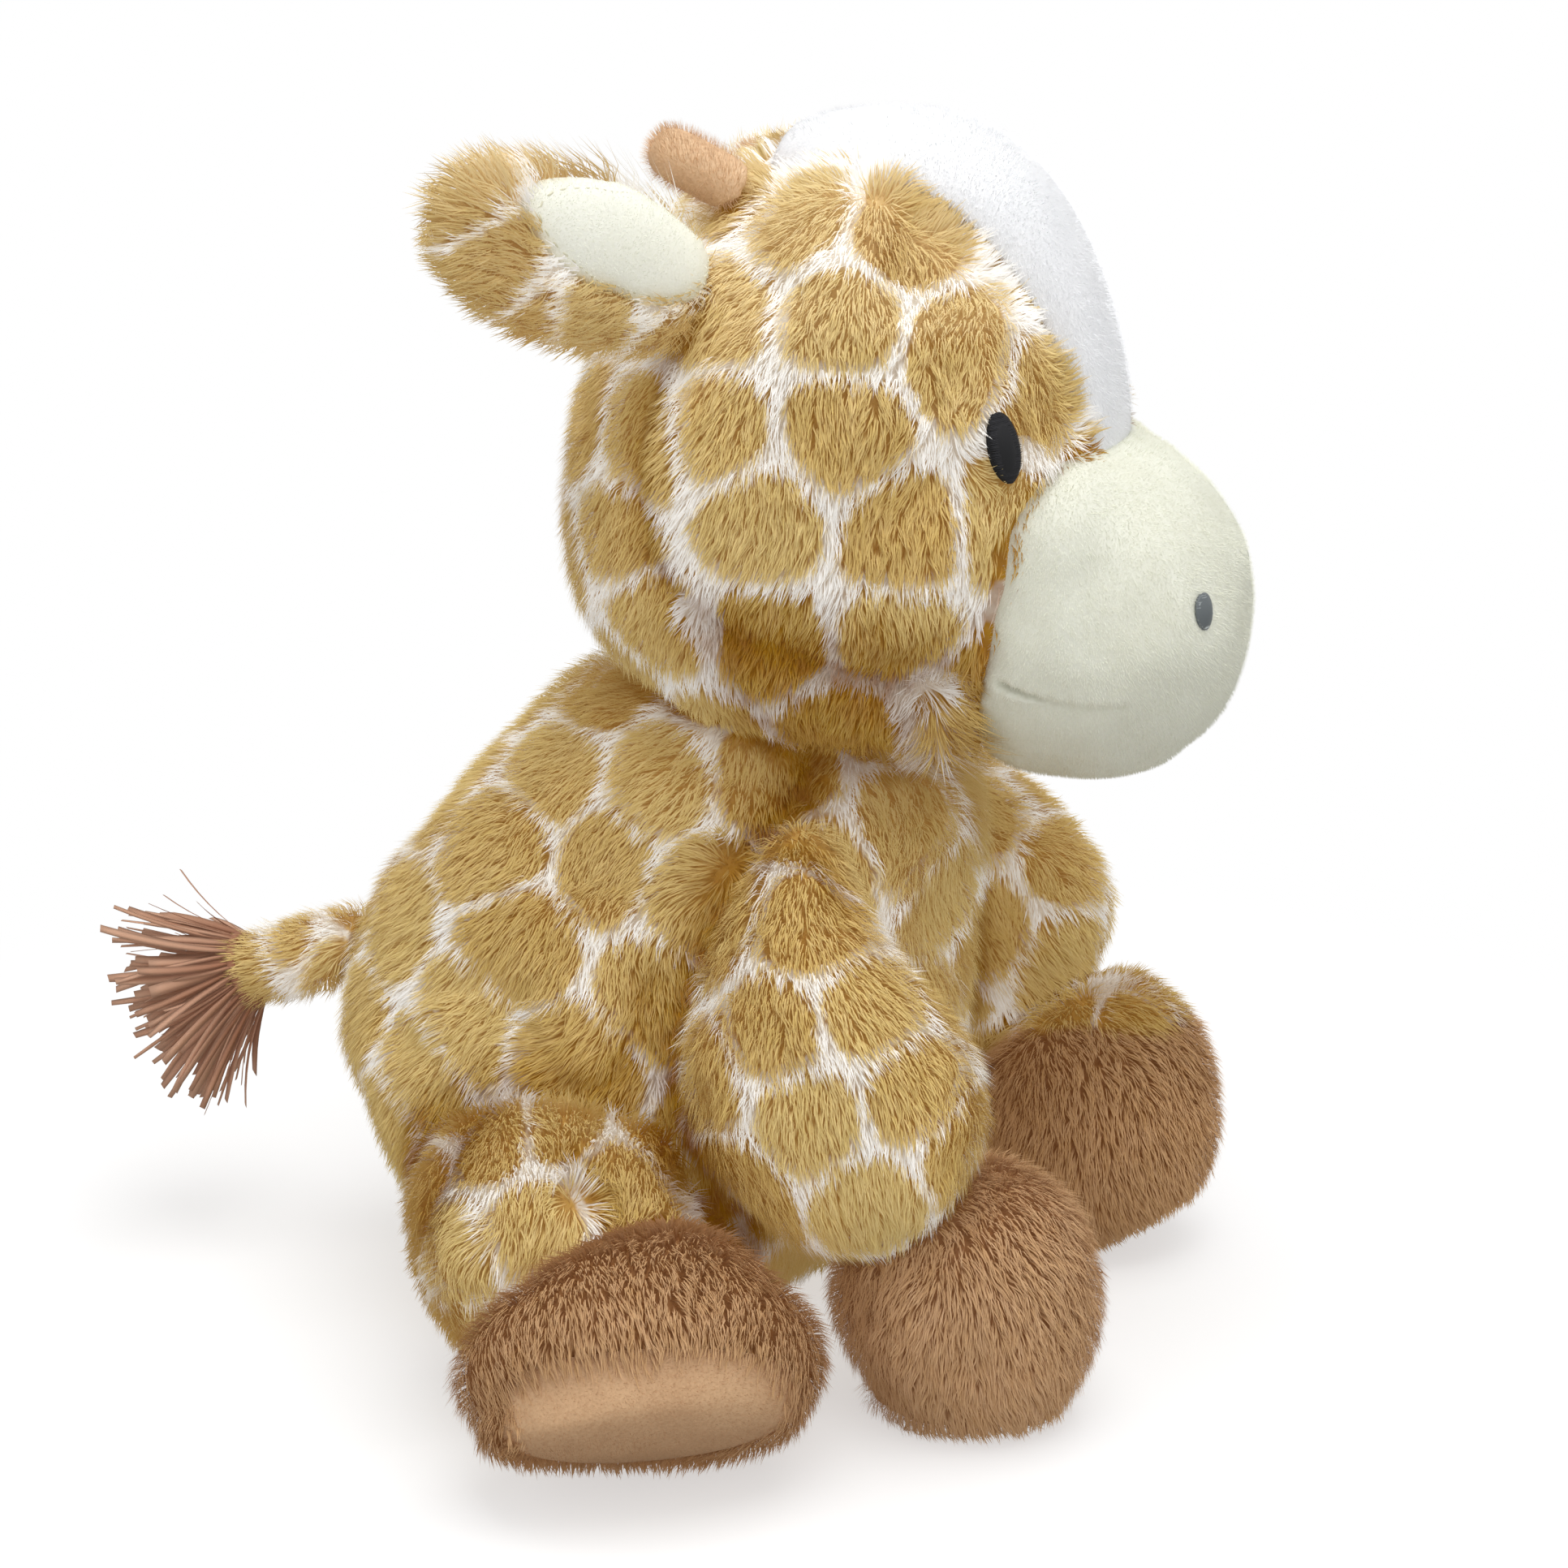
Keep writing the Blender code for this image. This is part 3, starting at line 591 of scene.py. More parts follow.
def puff(piece, pressure, cap, held):
    """Blows a form up as cloth for a few frames; held is how firmly each vertex stays."""
    rest = points_of(piece.data)
    group = piece.vertex_groups.new(name="held")
    for i, weight in enumerate(held):
        if weight > 0.01:
            group.add([i], float(weight), "REPLACE")
    cloth = piece.modifiers.new("cloth", "CLOTH")
    for key, value in {"quality": 4, "mass": 0.3, "tension_stiffness": 12, "compression_stiffness": 12,
                       "bending_stiffness": 0.4, "shrink_min": -0.05, "use_pressure": True,
                       "uniform_pressure_force": pressure, "vertex_group_mass": "held"}.items():
        setattr(cloth.settings, key, value)
    cloth.settings.effector_weights.gravity = 0
    cloth.collision_settings.use_collision = False
    cloth.point_cache.frame_start, cloth.point_cache.frame_end = 1, PUFF_FRAMES
    for step in range(1, PUFF_FRAMES + 1):
        scene.frame_set(step)
    graph = bpy.context.evaluated_depsgraph_get()
    blown = points_of(piece.evaluated_get(graph).data)
    piece.modifiers.clear()
    piece.vertex_groups.clear()
    scene.frame_set(1)
    move = blown - rest
    length = np.linalg.norm(move, axis=1, keepdims=True)
    move *= np.minimum(1, cap / np.maximum(length, TINY))
    put_points(piece.data, rest + move)


def inset_of(name, points, depth):
    """How deep below the pile's tips the cloth lies at each point."""
    deep = np.full(len(points), depth)
    if name == "head":
        deep *= EYE_INSET + (1 - EYE_INSET) * smoothstep(eye_distance(points), 1.0, 2.4)
    return deep


# A point is free to sink when the next form ahead is farther off than these distances
FREE_FROM, FREE_TO, LOOK_AHEAD = 1.0 * MM, 3.2 * MM, 4 * MM


def neighbours(name):
    """The forms that touch this one; thin pieces that lie on it don't count."""
    thin = ("eye", "nostril", "ear_lining", "blaze", "rear_sole", "front_sole")
    return [outer_tree[o] for o in nodes if o != name and not o.startswith(thin)]


def room_ahead(points, out, forms, reach=0.014):
    """How far each point can go along its normal before it meets another form."""
    room = np.full(len(points), reach)
    for form in forms:
        for i, (p, n) in enumerate(zip(points, out)):
            p, n = Vector(p), Vector(n)
            if form.find_nearest(p, room[i])[0] is not None:
                hit = form.ray_cast(p - n * MM, n, room[i] + MM)
                if hit[0] is not None:
                    room[i] = min(room[i], hit[3] - MM)
    return room


def freedom(points, out, forms):
    """0 where a point lies against another form, 1 where it is free to sink."""
    return smoothstep(room_ahead(points, out, forms, LOOK_AHEAD), FREE_FROM, FREE_TO)


print("forms with pile:", len(FORMS))

# %% [markdown]
# ## Skins
#
# Each skin is pushed in by its pile's depth and puffed up again by the filling.
# Faces that lie against another form have hardly any pile, so they stay where the solids meet.
# The vertices near a neighbouring form are held, because the seam there ties the cloth down,
# and the rest swells between the seams as the real panels do.

# %% Skins
# Under a front hoof the cloth keeps its height, so that the sole lies flush in it
UNDERSIDE = 0.85
# How much deeper than its pile the cloth sinks, and how high it stays above the floor
SINK_MORE, LOWEST_CLOTH = 0.6 * MM, 0.6 * MM
# A skin's smoothing before and after it sinks, and its filling's pressure and farthest push
SMOOTH_FIRST, SMOOTH_LAST, SKIN_PRESSURE, SKIN_PUSH = 6, 4, 4.0, 0.0022
skins = {}
for name, (voxel, depth, pile) in FORMS.items():
    shape = joined(name, name.replace("hoof", "sole")) if "hoof" in name else outer[name].copy()
    piece = even_form(name + "_skin", voxel, SMOOTH_FIRST, shape)
    points, out = points_of(piece.data), normals_of(piece.data)
    deep = inset_of(name, points, depth + SINK_MORE) * freedom(points, out, neighbours(name))
    if name.startswith("front_hoof"):
        deep *= 1 - UNDERSIDE * smoothstep(-out[:, 2], 0.3, 0.8) * smoothstep(-points[:, 2], -0.008, -0.004)
    put_points(piece.data, points - out * deep[:, None])
    piece = even_form(name + "_skin_even", voxel, SMOOTH_LAST, piece.data.copy())
    bpy.data.objects.remove(bpy.data.objects[name + "_skin"])
    piece.name = name + "_skin"
    points = points_of(piece.data)
    room = nearest(points, neighbours(name))
    puff(piece, SKIN_PRESSURE, SKIN_PUSH, 1 - smoothstep(room, depth * 1.2, depth * 2.6))
    lift_off_floor(subdivided(piece, 1).data, LOWEST_CLOTH)
    skins[name] = piece
    print("skin", name, len(piece.data.vertices), "vertices")

# %% [markdown]
# ## The giraffe pattern
#
# The pile is printed with gold patches between cream lines.
# A Voronoi texture gives such cells, but nobody can place them, and its corners are sharp.
# Here each form has its own patch middles: those that show are listed one by one, and the rest
# fill the form at an even spacing. Every vertex then stores how far inside its patch it lies,
# measured to the nearest borders with a soft minimum, which rounds the patches' corners.

# %% Patch middles, millimetres
PATCHES = {
    "head": [(-38, -29, 280), (-37, -56, 277), (-50, -15, 260), (-52, -43, 260), (-45, -69, 252),
             (-59, -16, 235), (-59, -45, 237), (-62, -27, 216), (-58, -58, 215), (-59, -29, 184),
             (-54, -58, 186), (-32, -85, 241), (-43, -81, 214), (-42, -67, 171), (-54, 3, 229),
             (-53, 9, 206), (-55, 1, 188), (-47, -41, 162), (-40, -8, 160)],
    "body": [(-36, 32, 146), (-44, 43, 128), (-52, 15, 130), (-42, 4, 148), (-40, 69, 103),
             (-59, 32, 107), (-60, 46, 91), (-59, 59, 77), (-67, 14, 85), (-38, -23, 150),
             (-62, -3, 99), (-41, 79, 81), (-52, 72, 58), (-27, -55, 134), (-17, -62, 115)],
    "front_leg": [(-78, -45, 128), (-66, -20, 122), (-91, -38, 108), (-84, -59, 113), (-96, -47, 90),
                  (-87, -19, 90), (-88, -72, 95), (-94, -63, 69), (-82, -82, 80), (-88, -30, 70)],
    "rear_leg": [(-100, -7, 68), (-95, 26, 75), (-91, 14, 79), (-111, 32, 53), (-79, -14, 69),
                 (-111, 11, 61)],
    "ear": [(-86, 31, 288), (-86, 23, 273), (-66, 14, 284), (-70, 4, 262), (-56, -2, 268)],
    "tail": [(-8, 110, 85), (-11, 121, 74), (-11, 101, 76)],
    "front_hoof": [(-35, -76, 70), (-37, -92, 66)],
}
PATCH_SPACING = {"head": 22.5, "body": 23.5, "front_leg": 22, "rear_leg": 20, "ear": 15, "tail": 14,
                 "front_hoof": 22}
CORNER_ROUND, PATCHES_ROUND = 2.2 * MM, 7


def kind_of(name):
    return name.replace("_right", "").replace("_left", "")


def patch_middles(name, points, seed):
    """Hand placed middles on their side, and others that fill the form."""
    rng = np.random.default_rng(seed)
    side = -1 if name.endswith("left") else 1
    kept = [np.array((side * x, y, z)) * MM for x, y, z in PATCHES[kind_of(name)]]
    near_form = KDTree(len(points))
    for i, p in enumerate(points):
        near_form.insert(p, i)
    near_form.balance()
    kept = [np.array(near_form.find(p)[0]) for p in kept]
    spacing = PATCH_SPACING[kind_of(name)] * MM
    for i in rng.permutation(len(points)):
        if min(np.linalg.norm(points[i] - k) for k in kept) > spacing:
            kept.append(points[i])
    return np.array(kept)


def pattern_of(points, middles, seed):
    """How far inside its patch each point lies, and a number for each patch."""
    rng = np.random.default_rng(seed)
    tones = rng.random(len(middles))
    gap = np.linalg.norm(points[:, None] - middles[None], axis=2)
    order = np.argsort(gap, axis=1)[:, :PATCHES_ROUND]
    first = order[:, 0]
    own = gap[np.arange(len(points)), first]
    total = np.zeros(len(points))
    for other in order[:, 1:].T:
        apart = np.linalg.norm(middles[first] - middles[other], axis=1)
        border = (gap[np.arange(len(points)), other] ** 2 - own ** 2) / (2 * apart)
        total += np.exp(-border / CORNER_ROUND)
    return -CORNER_ROUND * np.log(total), tones[first]


print("patches placed by hand:", sum(len(middles) for middles in PATCHES.values()))

# %% [markdown]
# ## Which way the pile lies
#
# Pile falls away from the crown and down the flanks, and the filling's bulges part it.
# One fixed direction looks combed by machine, and random directions look like felt.
# So each form has a main direction, bent outwards from its middle line, and at the root of
# every strand two sizes of noise turn it: wide swirls and small tufts.

# %% Flow
SHORT = 1e-6


def flow_of(name, points, out):
    """The direction in which the strands lean, along the cloth."""
    x, y, z = points.T
    side = np.sign(x) * smoothstep(np.abs(x), 0.0, 0.03)
    ways = {
        "head": (side * 0.3, 0.35 * smoothstep(y, -0.07, 0.0) - 0.25 * smoothstep(-z, -0.20, -0.16), -1),
        "body": (side * 0.25, 0.5 * smoothstep(y, -0.03, 0.05), -1),
        "front_leg": (side * 0.3, -0.35, -1),
        "front_hoof": (side * 0.2, -0.30, -1),
        "rear_leg": (side, -0.2, -0.35),
        "rear_hoof": (side * 0.8, -0.25, -0.9),
        "ear": (side * 0.8, 0.7, 0.8 * smoothstep(out[:, 2], 0.2, 0.7)),
        "tail": (0, 1, -0.3),
    }
    flow = np.stack([way + np.zeros(len(points)) for way in ways[kind_of(name)]], axis=1)
    flow = along_cloth(flow, out)
    return flow / np.maximum(np.linalg.norm(flow, axis=1, keepdims=True), SHORT)


print("the pile's directions are set for", len(PATCHES) + 1, "kinds of form")

# %% [markdown]
# ## Creases and tufts
#
# A seam pulls the pile down into a line, and the shade in it is painted into the pile's colour; a gather
# makes the pile stand out in a tuft, with less painted shade. Noise alone would put these anywhere. The lines
# below follow the toy's own seams: down the back of the cheek, along the jaw, at the shoulder and over the
# hip.

# %% Creases and tufts
# Each crease: its points in millimetres, half width, depth, share of painted shade
CREASES = {
    "head": [([(-50, 0, 247), (-52, 2, 236), (-54, 3, 225), (-56, 2, 215), (-57, 0, 204), (-58.7, -8, 194)],
              4.5, 2.0, 0.55),
             ([(-58.6, -12, 189), (-58, -20, 185), (-58, -31, 183), (-56, -41, 179), (-52, -51, 175),
               (-47, -61, 173), (-38, -69, 168)], 8.0, 2.4, 0.9),
             ([(-56, -22, 192), (-54, -45, 187), (-50, -58, 181)], 8.0, 0.5, 0.6),
             ([(-58, -17, 198), (-57, -18, 184), (-52, -20, 168)], 3.2, 1.8, 0.8),
             ([(-59, -34, 196), (-56, -36, 180), (-49, -38, 165)], 3.2, 1.8, 0.8),
             ([(-56, -52, 192), (-52, -52, 178), (-46, -54, 166)], 3.2, 1.6, 0.8)],
    "body": [([(-32, -33, 151), (-39, -31, 145), (-44, -27, 139), (-48, -23, 134)], 6.5, 3.0, 1.0),
             ([(-61, 0, 104), (-64, 1, 90), (-67, 6, 80), (-68, 17, 78)], 5.0, 1.5, 0.5)],
    "front_leg": [([(-64, -26, 138), (-66, -36, 143), (-66, -44, 140), (-67, -52, 133)], 4.5, 1.2, 0.5)],
    "rear_leg": [([(-78, 34, 78), (-90, 37, 71), (-98, 38, 64), (-100, 42, 55)], 5.0, 1.5, 0.7),
                 ([(-97, 8, 76), (-102, 0, 71), (-104, -6, 62)], 4.0, 1.0, 0.5)],
}
# Lines are given at the height of the pile's tips, this far above the cloth
PILE_RISE = 4.2 * MM
# How much darker each form's pile is made; less than 0 makes it paler
BASE_DARK = {"rear_leg": -0.25, "body": -0.20, "ear": -0.30, "tail": -0.10, "rear_hoof": 0.12}
# Painted shade under the jaw
JAW_DARK = 0.5
# A crease: how much narrower it is than its shade, and how much shorter its pile is
CREASE_CORE, CREASE_SHORTER = 0.6, 0.25
# A tuft: how far its pile spreads, how strongly it turns, how much of the painted shade it takes away
TUFT_SPREAD, TUFT_TURN, TUFT_PALER = 0.8, 2.5, 0.8
# Each tuft: its middle, its reach, how much longer its pile is, cream or not, its own flow
TUFTS = {
    "head": [((-59, -9, 190), 5.0, 1.25, True, (0, 0.3, 0.2)),
             ((-44, -64, 172), 5.0, 1.2, True, (-0.3, -0.6, 0.1)),
             ((-38, -86, 228), 3.4, 1.0, True, (0, 0, -1)),
             ((-45, -66, 168), 6.0, 1.6, False, (-0.7, -1, -0.3)),
             ((-39, -67, 160), 8.0, 2.2, False, (-0.8, -1, -0.2)),
             ((-27, -68, 152), 10.0, 2.3, False, (-0.3, -1, -0.3))],
    "body": [((-30, -42, 150), 7.0, 1.25, False, (-0.6, -0.4, 0.3)),
             ((-52, -14, 129), 7.0, 1.2, False, (0.3, 0.5, 0.4)),
             ((-66, 24, 84), 8.0, 1.15, False, (0, 0.7, -0.3))],
    "rear_leg": [((-93, 21, 77), 6.0, 1.25, False, (-0.5, -0.6, 0.5)),
                 ((-104, 2, 66), 6.0, 1.2, False, (0.6, -0.3, 0.6)),
                 ((-109, 23, 57), 7.0, 1.2, False, (-0.2, 0.8, 0.3))],
    "ear": [((-50, -4, 281), 8.0, 1.5, True, (-0.3, 0.3, 1.0)),
            ((-58, 4, 287), 9.0, 1.35, False, (-0.5, 0.4, 0.9))],
}


def along_line(points, line):
    """Distance of each point from a line of points, and its share along the line."""
    best, share = np.full(len(points), 1.0), np.zeros(len(points))
    for i, (a, b) in enumerate(zip(line, line[1:])):
        t = np.clip(((points - a) @ (b - a)) / ((b - a) @ (b - a)), 0, 1)
        gap = np.linalg.norm(points - (a + t[:, None] * (b - a)), axis=1)
        closer = gap < best
        best[closer] = gap[closer]
        share[closer] = ((i + t) / (len(line) - 1))[closer]
    return best, share


def creased(kind, points, out, flow):
    """Moves the cloth into its creases; gives points, flow, painted shade, pile factor and cream."""
    side = mirrored_to_right(points + out * PILE_RISE)
    dark = np.full(len(points), BASE_DARK.get(kind, 0.0))
    longer, cream = np.ones(len(points)), np.zeros(len(points))
    if kind == "head":
        # Painted shade on the head's lower faces, under the jaw
        jaw = smoothstep(-side[:, 2], -0.196, -0.184) * smoothstep(-side[:, 1], 0.005, 0.022)
        dark = np.maximum(dark, JAW_DARK * jaw)
    points, flow = points.copy(), flow.copy()
    for line, wide, deep, share in CREASES.get(kind, ()):
        line = np.array(line, float) * MM
        gap, along = along_line(side, line)
        near = np.exp(-(gap / (wide * MM)) ** 2)
        points -= out * (deep * MM * np.exp(-(gap / (wide * CREASE_CORE * MM)) ** 2))[:, None]
        # Painted shade along the crease
        dark = np.maximum(dark, share * near)
        longer *= 1 - CREASE_SHORTER * near
    for middle, reach, factor, is_cream, way in TUFTS.get(kind, ()):
        away = side - np.array(middle) * MM
        near = np.exp(-(np.linalg.norm(away, axis=1) / (reach * MM)) ** 2)
        way = np.tile(np.array(way, float), (len(points), 1)) + away / (reach * MM) * TUFT_SPREAD
        way[:, 0] *= np.where(points[:, 0] > 0, -1, 1)
        flow += way * (near * TUFT_TURN)[:, None]
        longer *= 1 + (factor - 1) * near
        # A tuft takes some of the painted shade away
        dark *= 1 - TUFT_PALER * near
        cream = np.maximum(cream, near * is_cream)
    flow = along_cloth(flow, out)
    flow /= np.maximum(np.linalg.norm(flow, axis=1, keepdims=True), SHORT)
    return points, flow, dark, longer, cream


print("creases:", sum(map(len, CREASES.values())), "tufts:", sum(map(len, TUFTS.values())))

# %% [markdown]
# ## Facts of each skin
#
# Each vertex of a skin keeps what the pile's tree and its finish read: how thickly the pile
# stands (cover), how long it is (pile), which way it leans (flow), how much shade is painted on it,
# or light where that number is below 0, and where it lies in the pattern (inside, tone, and brown for the
# hoof's own colour).
# These could be painted by hand, but every change of a form would lose them. Here they
# follow from distances: to the neighbouring forms, the floor, the blaze, the eyes, the
# muzzle, the soles and the linings.

# %% Facts of each skin
# Where the far front hoof's brown begins: place fore and aft, height
HOOF_LINE = np.array(((-96, 60.7), (-83, 63.0), (-75, 61.5), (-68, 58.1), (-60, 53.3), (-55, 47.6)))
COVER_LEAST, COVER_ON_FLOOR = 0.08, 0.25
# Painted light on the upward faces of the head and ears, painted shade in crevices between forms and on the
# far front hoof
UPWARD_PAINTED_LIGHT, CREVICE_DARK, FAR_HOOF_DARK = 0.55, 0.62, 0.2
# The share of its length that pile has at a seam, and how much longer it is on an ear's upper edge
SEAM_LENGTH, EAR_LONGER = 0.6, 0.35
# Round an eye pile has this share of its length; behind the eye it is longer and comes closer
EYE_LENGTH, REAR_LONGER, REAR_CLOSER = 0.5, 0.12, 0.14
# How near an eye pile turns to it fully, and how strongly it turns away from the blaze
EYE_BEND, BLAZE_BEND = 4 * MM, 0.9
# Where the legs are sewn to the body, shade is painted into the pile
SEAM_FORMS = ["body"] + [name for name in FORMS if "leg" in name]
SEAM_DARK, SEAM_REACH = 0.95, (4 * MM, 14 * MM)
# Large forms are grown in four pieces, parted at these places from side to side, fore and aft
PANEL_LINES = {"body": (0, 0.015), "head": (0, -0.030)}
# A tuft of cream pile lies this far outside the patches; all but the head's are a little larger
CREAM_OUTSIDE, PATCH_LARGER = 12 * MM, 0.6 * MM


def cover_of(name, points, out, room, depth):
    """How thickly the pile stands: less against other forms, none under a sole or lining."""
    cover = COVER_LEAST + (1 - COVER_LEAST) * smoothstep(room, depth * 0.55, depth * 1.05)
    cover *= COVER_ON_FLOOR + (1 - COVER_ON_FLOOR) * smoothstep(points[:, 2], depth * 0.5, depth + MM)
    if name.startswith("rear_hoof"):
        cover *= smoothstep(sole_radius(points), 0.82, 0.90)
        along = (mirrored_to_right(points) - SOLE_MIDDLE) @ np.array(SOLE_ALONG)
        cover *= np.maximum(smoothstep(points[:, 2], 0.005, 0.008), smoothstep(np.abs(along), 0.024, 0.032))
    if name.startswith("ear"):
        side = name[4:]
        facing = out @ np.array(lining_frame(side)[1])
        cover *= 1 - (1 - smoothstep(lining_radius(points, side), 0.86, 0.94)) * smoothstep(facing, 0.0, 0.3)
    return cover


def face_flow(points):
    """What bends the head's pile: towards an eye from behind it, and out from under the blaze."""
    towards = EYE_PLACE - mirrored_to_right(points)
    near = smoothstep(-np.linalg.norm(towards, axis=1), -0.012, -0.006)
    near *= smoothstep(points[:, 1], -0.084, -0.078)
    towards[:, 0] *= np.where(points[:, 0] > 0, -1, 1)
    bend = towards / EYE_BEND * near[:, None]
    edge = BLAZE_BEND * (1 - smoothstep(blaze_distance(points), 0.002, 0.009))
    bend[:, 0] -= np.sign(points[:, 0]) * edge
    bend[:, 2] += edge
    return bend


def trimmed_face(points, cover, length):
    """Ends the head's pile at the blaze, the muzzle and the eyes, and shortens it round the eyes."""
    eye, rear = eye_distance(points), smoothstep(points[:, 1], -0.081, -0.077)
    cover *= smoothstep(blaze_distance(points), -0.0036, -0.0022)
    cover *= smoothstep(collar_radius(points), 0.86, 0.92)
    cover *= smoothstep(eye, 1.0 - REAR_CLOSER * rear, 1.06 - REAR_CLOSER * rear)
    least = EYE_LENGTH + REAR_LONGER * rear
    length *= least + (1 - least) * smoothstep(eye, 1.0, 2.2)
    return cover, length


def shaded(name, points, out, room, depth, dark):
    """Painted shade between forms, where a leg is sewn on and on the far front hoof; painted light on the
    head's and ears' upward faces.
    """
    crevice = 1 - smoothstep(room, depth * 0.9, depth * 2.4)
    dark = np.maximum(dark, dark + (CREVICE_DARK - dark) * crevice)
    if name in SEAM_FORMS:
        seam = nearest(points, [outer_tree[o] for o in SEAM_FORMS if o != name])
        dark = np.maximum(dark, SEAM_DARK * (1 - smoothstep(seam, *SEAM_REACH)))
    if kind_of(name) in ("head", "ear"):
        dark -= UPWARD_PAINTED_LIGHT * smoothstep(out[:, 2], 0.15, 0.7) * (1 - np.clip(dark, 0, 1))
    return dark + FAR_HOOF_DARK if name == "front_hoof_left" else dark


def store_pattern(mesh, name, number, points, cream):
    """Where each point lies in the pattern; a number for each form seeds its random draws."""
    if name == "front_hoof_left":
        line = np.interp(points[:, 1], HOOF_LINE[:, 0] * MM, HOOF_LINE[:, 1] * MM)
        store(mesh, "brown", 1 - smoothstep(points[:, 2] - line, -MM, MM))
    elif "hoof" in name:
        return
    inside, tone = pattern_of(points, patch_middles(name, points, number + 3), number + 11)
    inside -= cream * CREAM_OUTSIDE
    inside += 0.0 if name == "head" else PATCH_LARGER
    store(mesh, "inside", inside * 1000)
    store(mesh, "tone", tone)


def store_panels(mesh, name):
    """Numbers the faces by the panel in which their pile is grown."""
    panel = np.zeros(len(mesh.polygons), np.int32)
    if name in PANEL_LINES:
        over = rows_from(mesh.polygons, "center")[:, :2] > PANEL_LINES[name]
        panel = over.astype(np.int32) @ np.array((1, 2), np.int32)
    mesh.attributes.new("panel", "INT", "FACE").data.foreach_set("value", panel)


for number, (name, (voxel, depth, pile)) in enumerate(FORMS.items()):
    mesh = skins[name].data
    points, out = points_of(mesh), normals_of(mesh)
    room = room_ahead(points, out, neighbours(name))
    cover = cover_of(name, points, out, room, depth)
    if name.startswith("ear"):
        pile *= 1 + EAR_LONGER * smoothstep(out[:, 2], 0.1, 0.6)
    length = pile * (SEAM_LENGTH + (1 - SEAM_LENGTH) * smoothstep(room, depth, depth * 2.4))
    flow = flow_of(name, points, out)
    if name == "head":
        flow += face_flow(points)
    points, flow, dark, longer, cream = creased(kind_of(name), points, out, flow)
    put_points(mesh, points)
    length = length * longer
    if name == "head":
        cover, length = trimmed_face(points, cover, length)
    for key, values in (("cover", cover), ("pile", length), ("flow", flow),
                        ("dark", shaded(name, points, out, room, depth, dark))):
        store(mesh, key, values)
    store_pattern(mesh, name, number, points, cream)
    store_panels(mesh, name)
    area = sum(p.area for p in mesh.polygons)
    print(name, "cloth", round(area * 1e4), "cm2, mean cover", round(float(cover.mean()), 2))

# %% [markdown]
# ## Strands
#
# Pile is thousands of fibres that rise from the cloth and bend over.
# Curves would render well but can't be exported, so each strand is a narrow bent ribbon of
# three triangles. Geometry Nodes scatters them: it turns each one to the cloth and the flow,
# and keeps the numbers of its root, so that a strand takes the colour of the cloth below it.
# Fibres of plush cling together in small tufts. A second, sparser scatter marks the tufts'
# middles, and every strand turns and tips towards the nearest one, so that tips meet.

# %% Strand shapes
RIBBON_HALVES = (0.42, 0.5)


def strand_mesh(name, first_lean, last_lean, sway, steps=2):
    """A unit ribbon that bends from upright towards the flow and ends in a point."""
    places = [(0.0, 0.0)]
    for lean in np.radians(np.linspace(first_lean, last_lean, steps)):
        y, z = places[-1]
        places.append((y + math.sin(lean) / steps, z + math.cos(lean) / steps))
    verts, along = [], []
    for i, ((y, z), half) in enumerate(zip(places[:-1], RIBBON_HALVES)):
        shift = sway * (i / steps) ** 2
        verts += [(-half + shift, y, z), (half + shift, y, z)]
        along += [i / steps] * 2
    verts.append((sway, *places[-1]))
    along.append(1.0)
    mesh = bpy.data.meshes.new(name)
    faces = [(2 * i + 1, 2 * i, 2 * i + 2, 2 * i + 3) for i in range(steps - 1)]
    mesh.from_pydata(verts, [], faces + [(2 * steps - 1, 2 * steps - 2, 2 * steps)])
    shade_smooth(mesh)
    store(mesh, "along", along)
    return bpy.data.objects.new(name, mesh)


def shape_set(name, objects):
    """A collection of shapes, for a tree to pick from."""
    made = bpy.data.collections.new(name)
    for each in objects:
        made.objects.link(each)
    return made


# Each strand: how far it leans at its root and at its tip, and how far its tip sways aside
STRANDS = ((22, 66, 0.5), (32, 78, -0.7), (16, 58, -0.4), (36, 72, 0.8))
NAP_STRANDS = ((10, 0.5), (30, -0.6), (45, 0.2), (22, -0.2))
strand_shapes = shape_set("strand_shapes", [strand_mesh(f"strand_{i}", *values)
                                            for i, values in enumerate(STRANDS)])
nap_shapes = shape_set("nap_shapes", [strand_mesh(f"nap_{i}", lean, lean, sway, 1)
                                      for i, (lean, sway) in enumerate(NAP_STRANDS)])

# %% [markdown]
# Both trees, the one for pile and the one for threads and strips, turn a shape to its place
# and put it there in the same way, so these steps are functions.

# %% Parts of a tree
def geometry_tree(name, inputs):
    """A tree with named inputs, given as a number or a kind of socket, and their fields."""
    tree = bpy.data.node_groups.new(name, "GeometryNodeTree")
    for way in ("INPUT", "OUTPUT"):
        tree.interface.new_socket("Geometry", in_out=way, socket_type="NodeSocketGeometry")
    for title, value in inputs.items():
        kind = value if isinstance(value, str) else "Int" if isinstance(value, int) else "Float"
        socket = tree.interface.new_socket(title, in_out="INPUT", socket_type="NodeSocket" + kind)
        if not isinstance(value, str):
            socket.default_value = value
    given = tree.nodes.new("NodeGroupInput")
    return tree, {o.name: Field(tree, o) for o in given.outputs if o.name}


def fact(tree, name, kind="FLOAT"):
    """A number or vector kept on the geometry."""
    return node(tree, "GeometryNodeInputNamedAttribute", {"data_type": kind}, {"Name": name})


def random_value(tree, seed, low, high):
    return node(tree, "FunctionNodeRandomValue", {"data_type": "FLOAT"}, {2: low, 3: high, "Seed": seed}, 1)


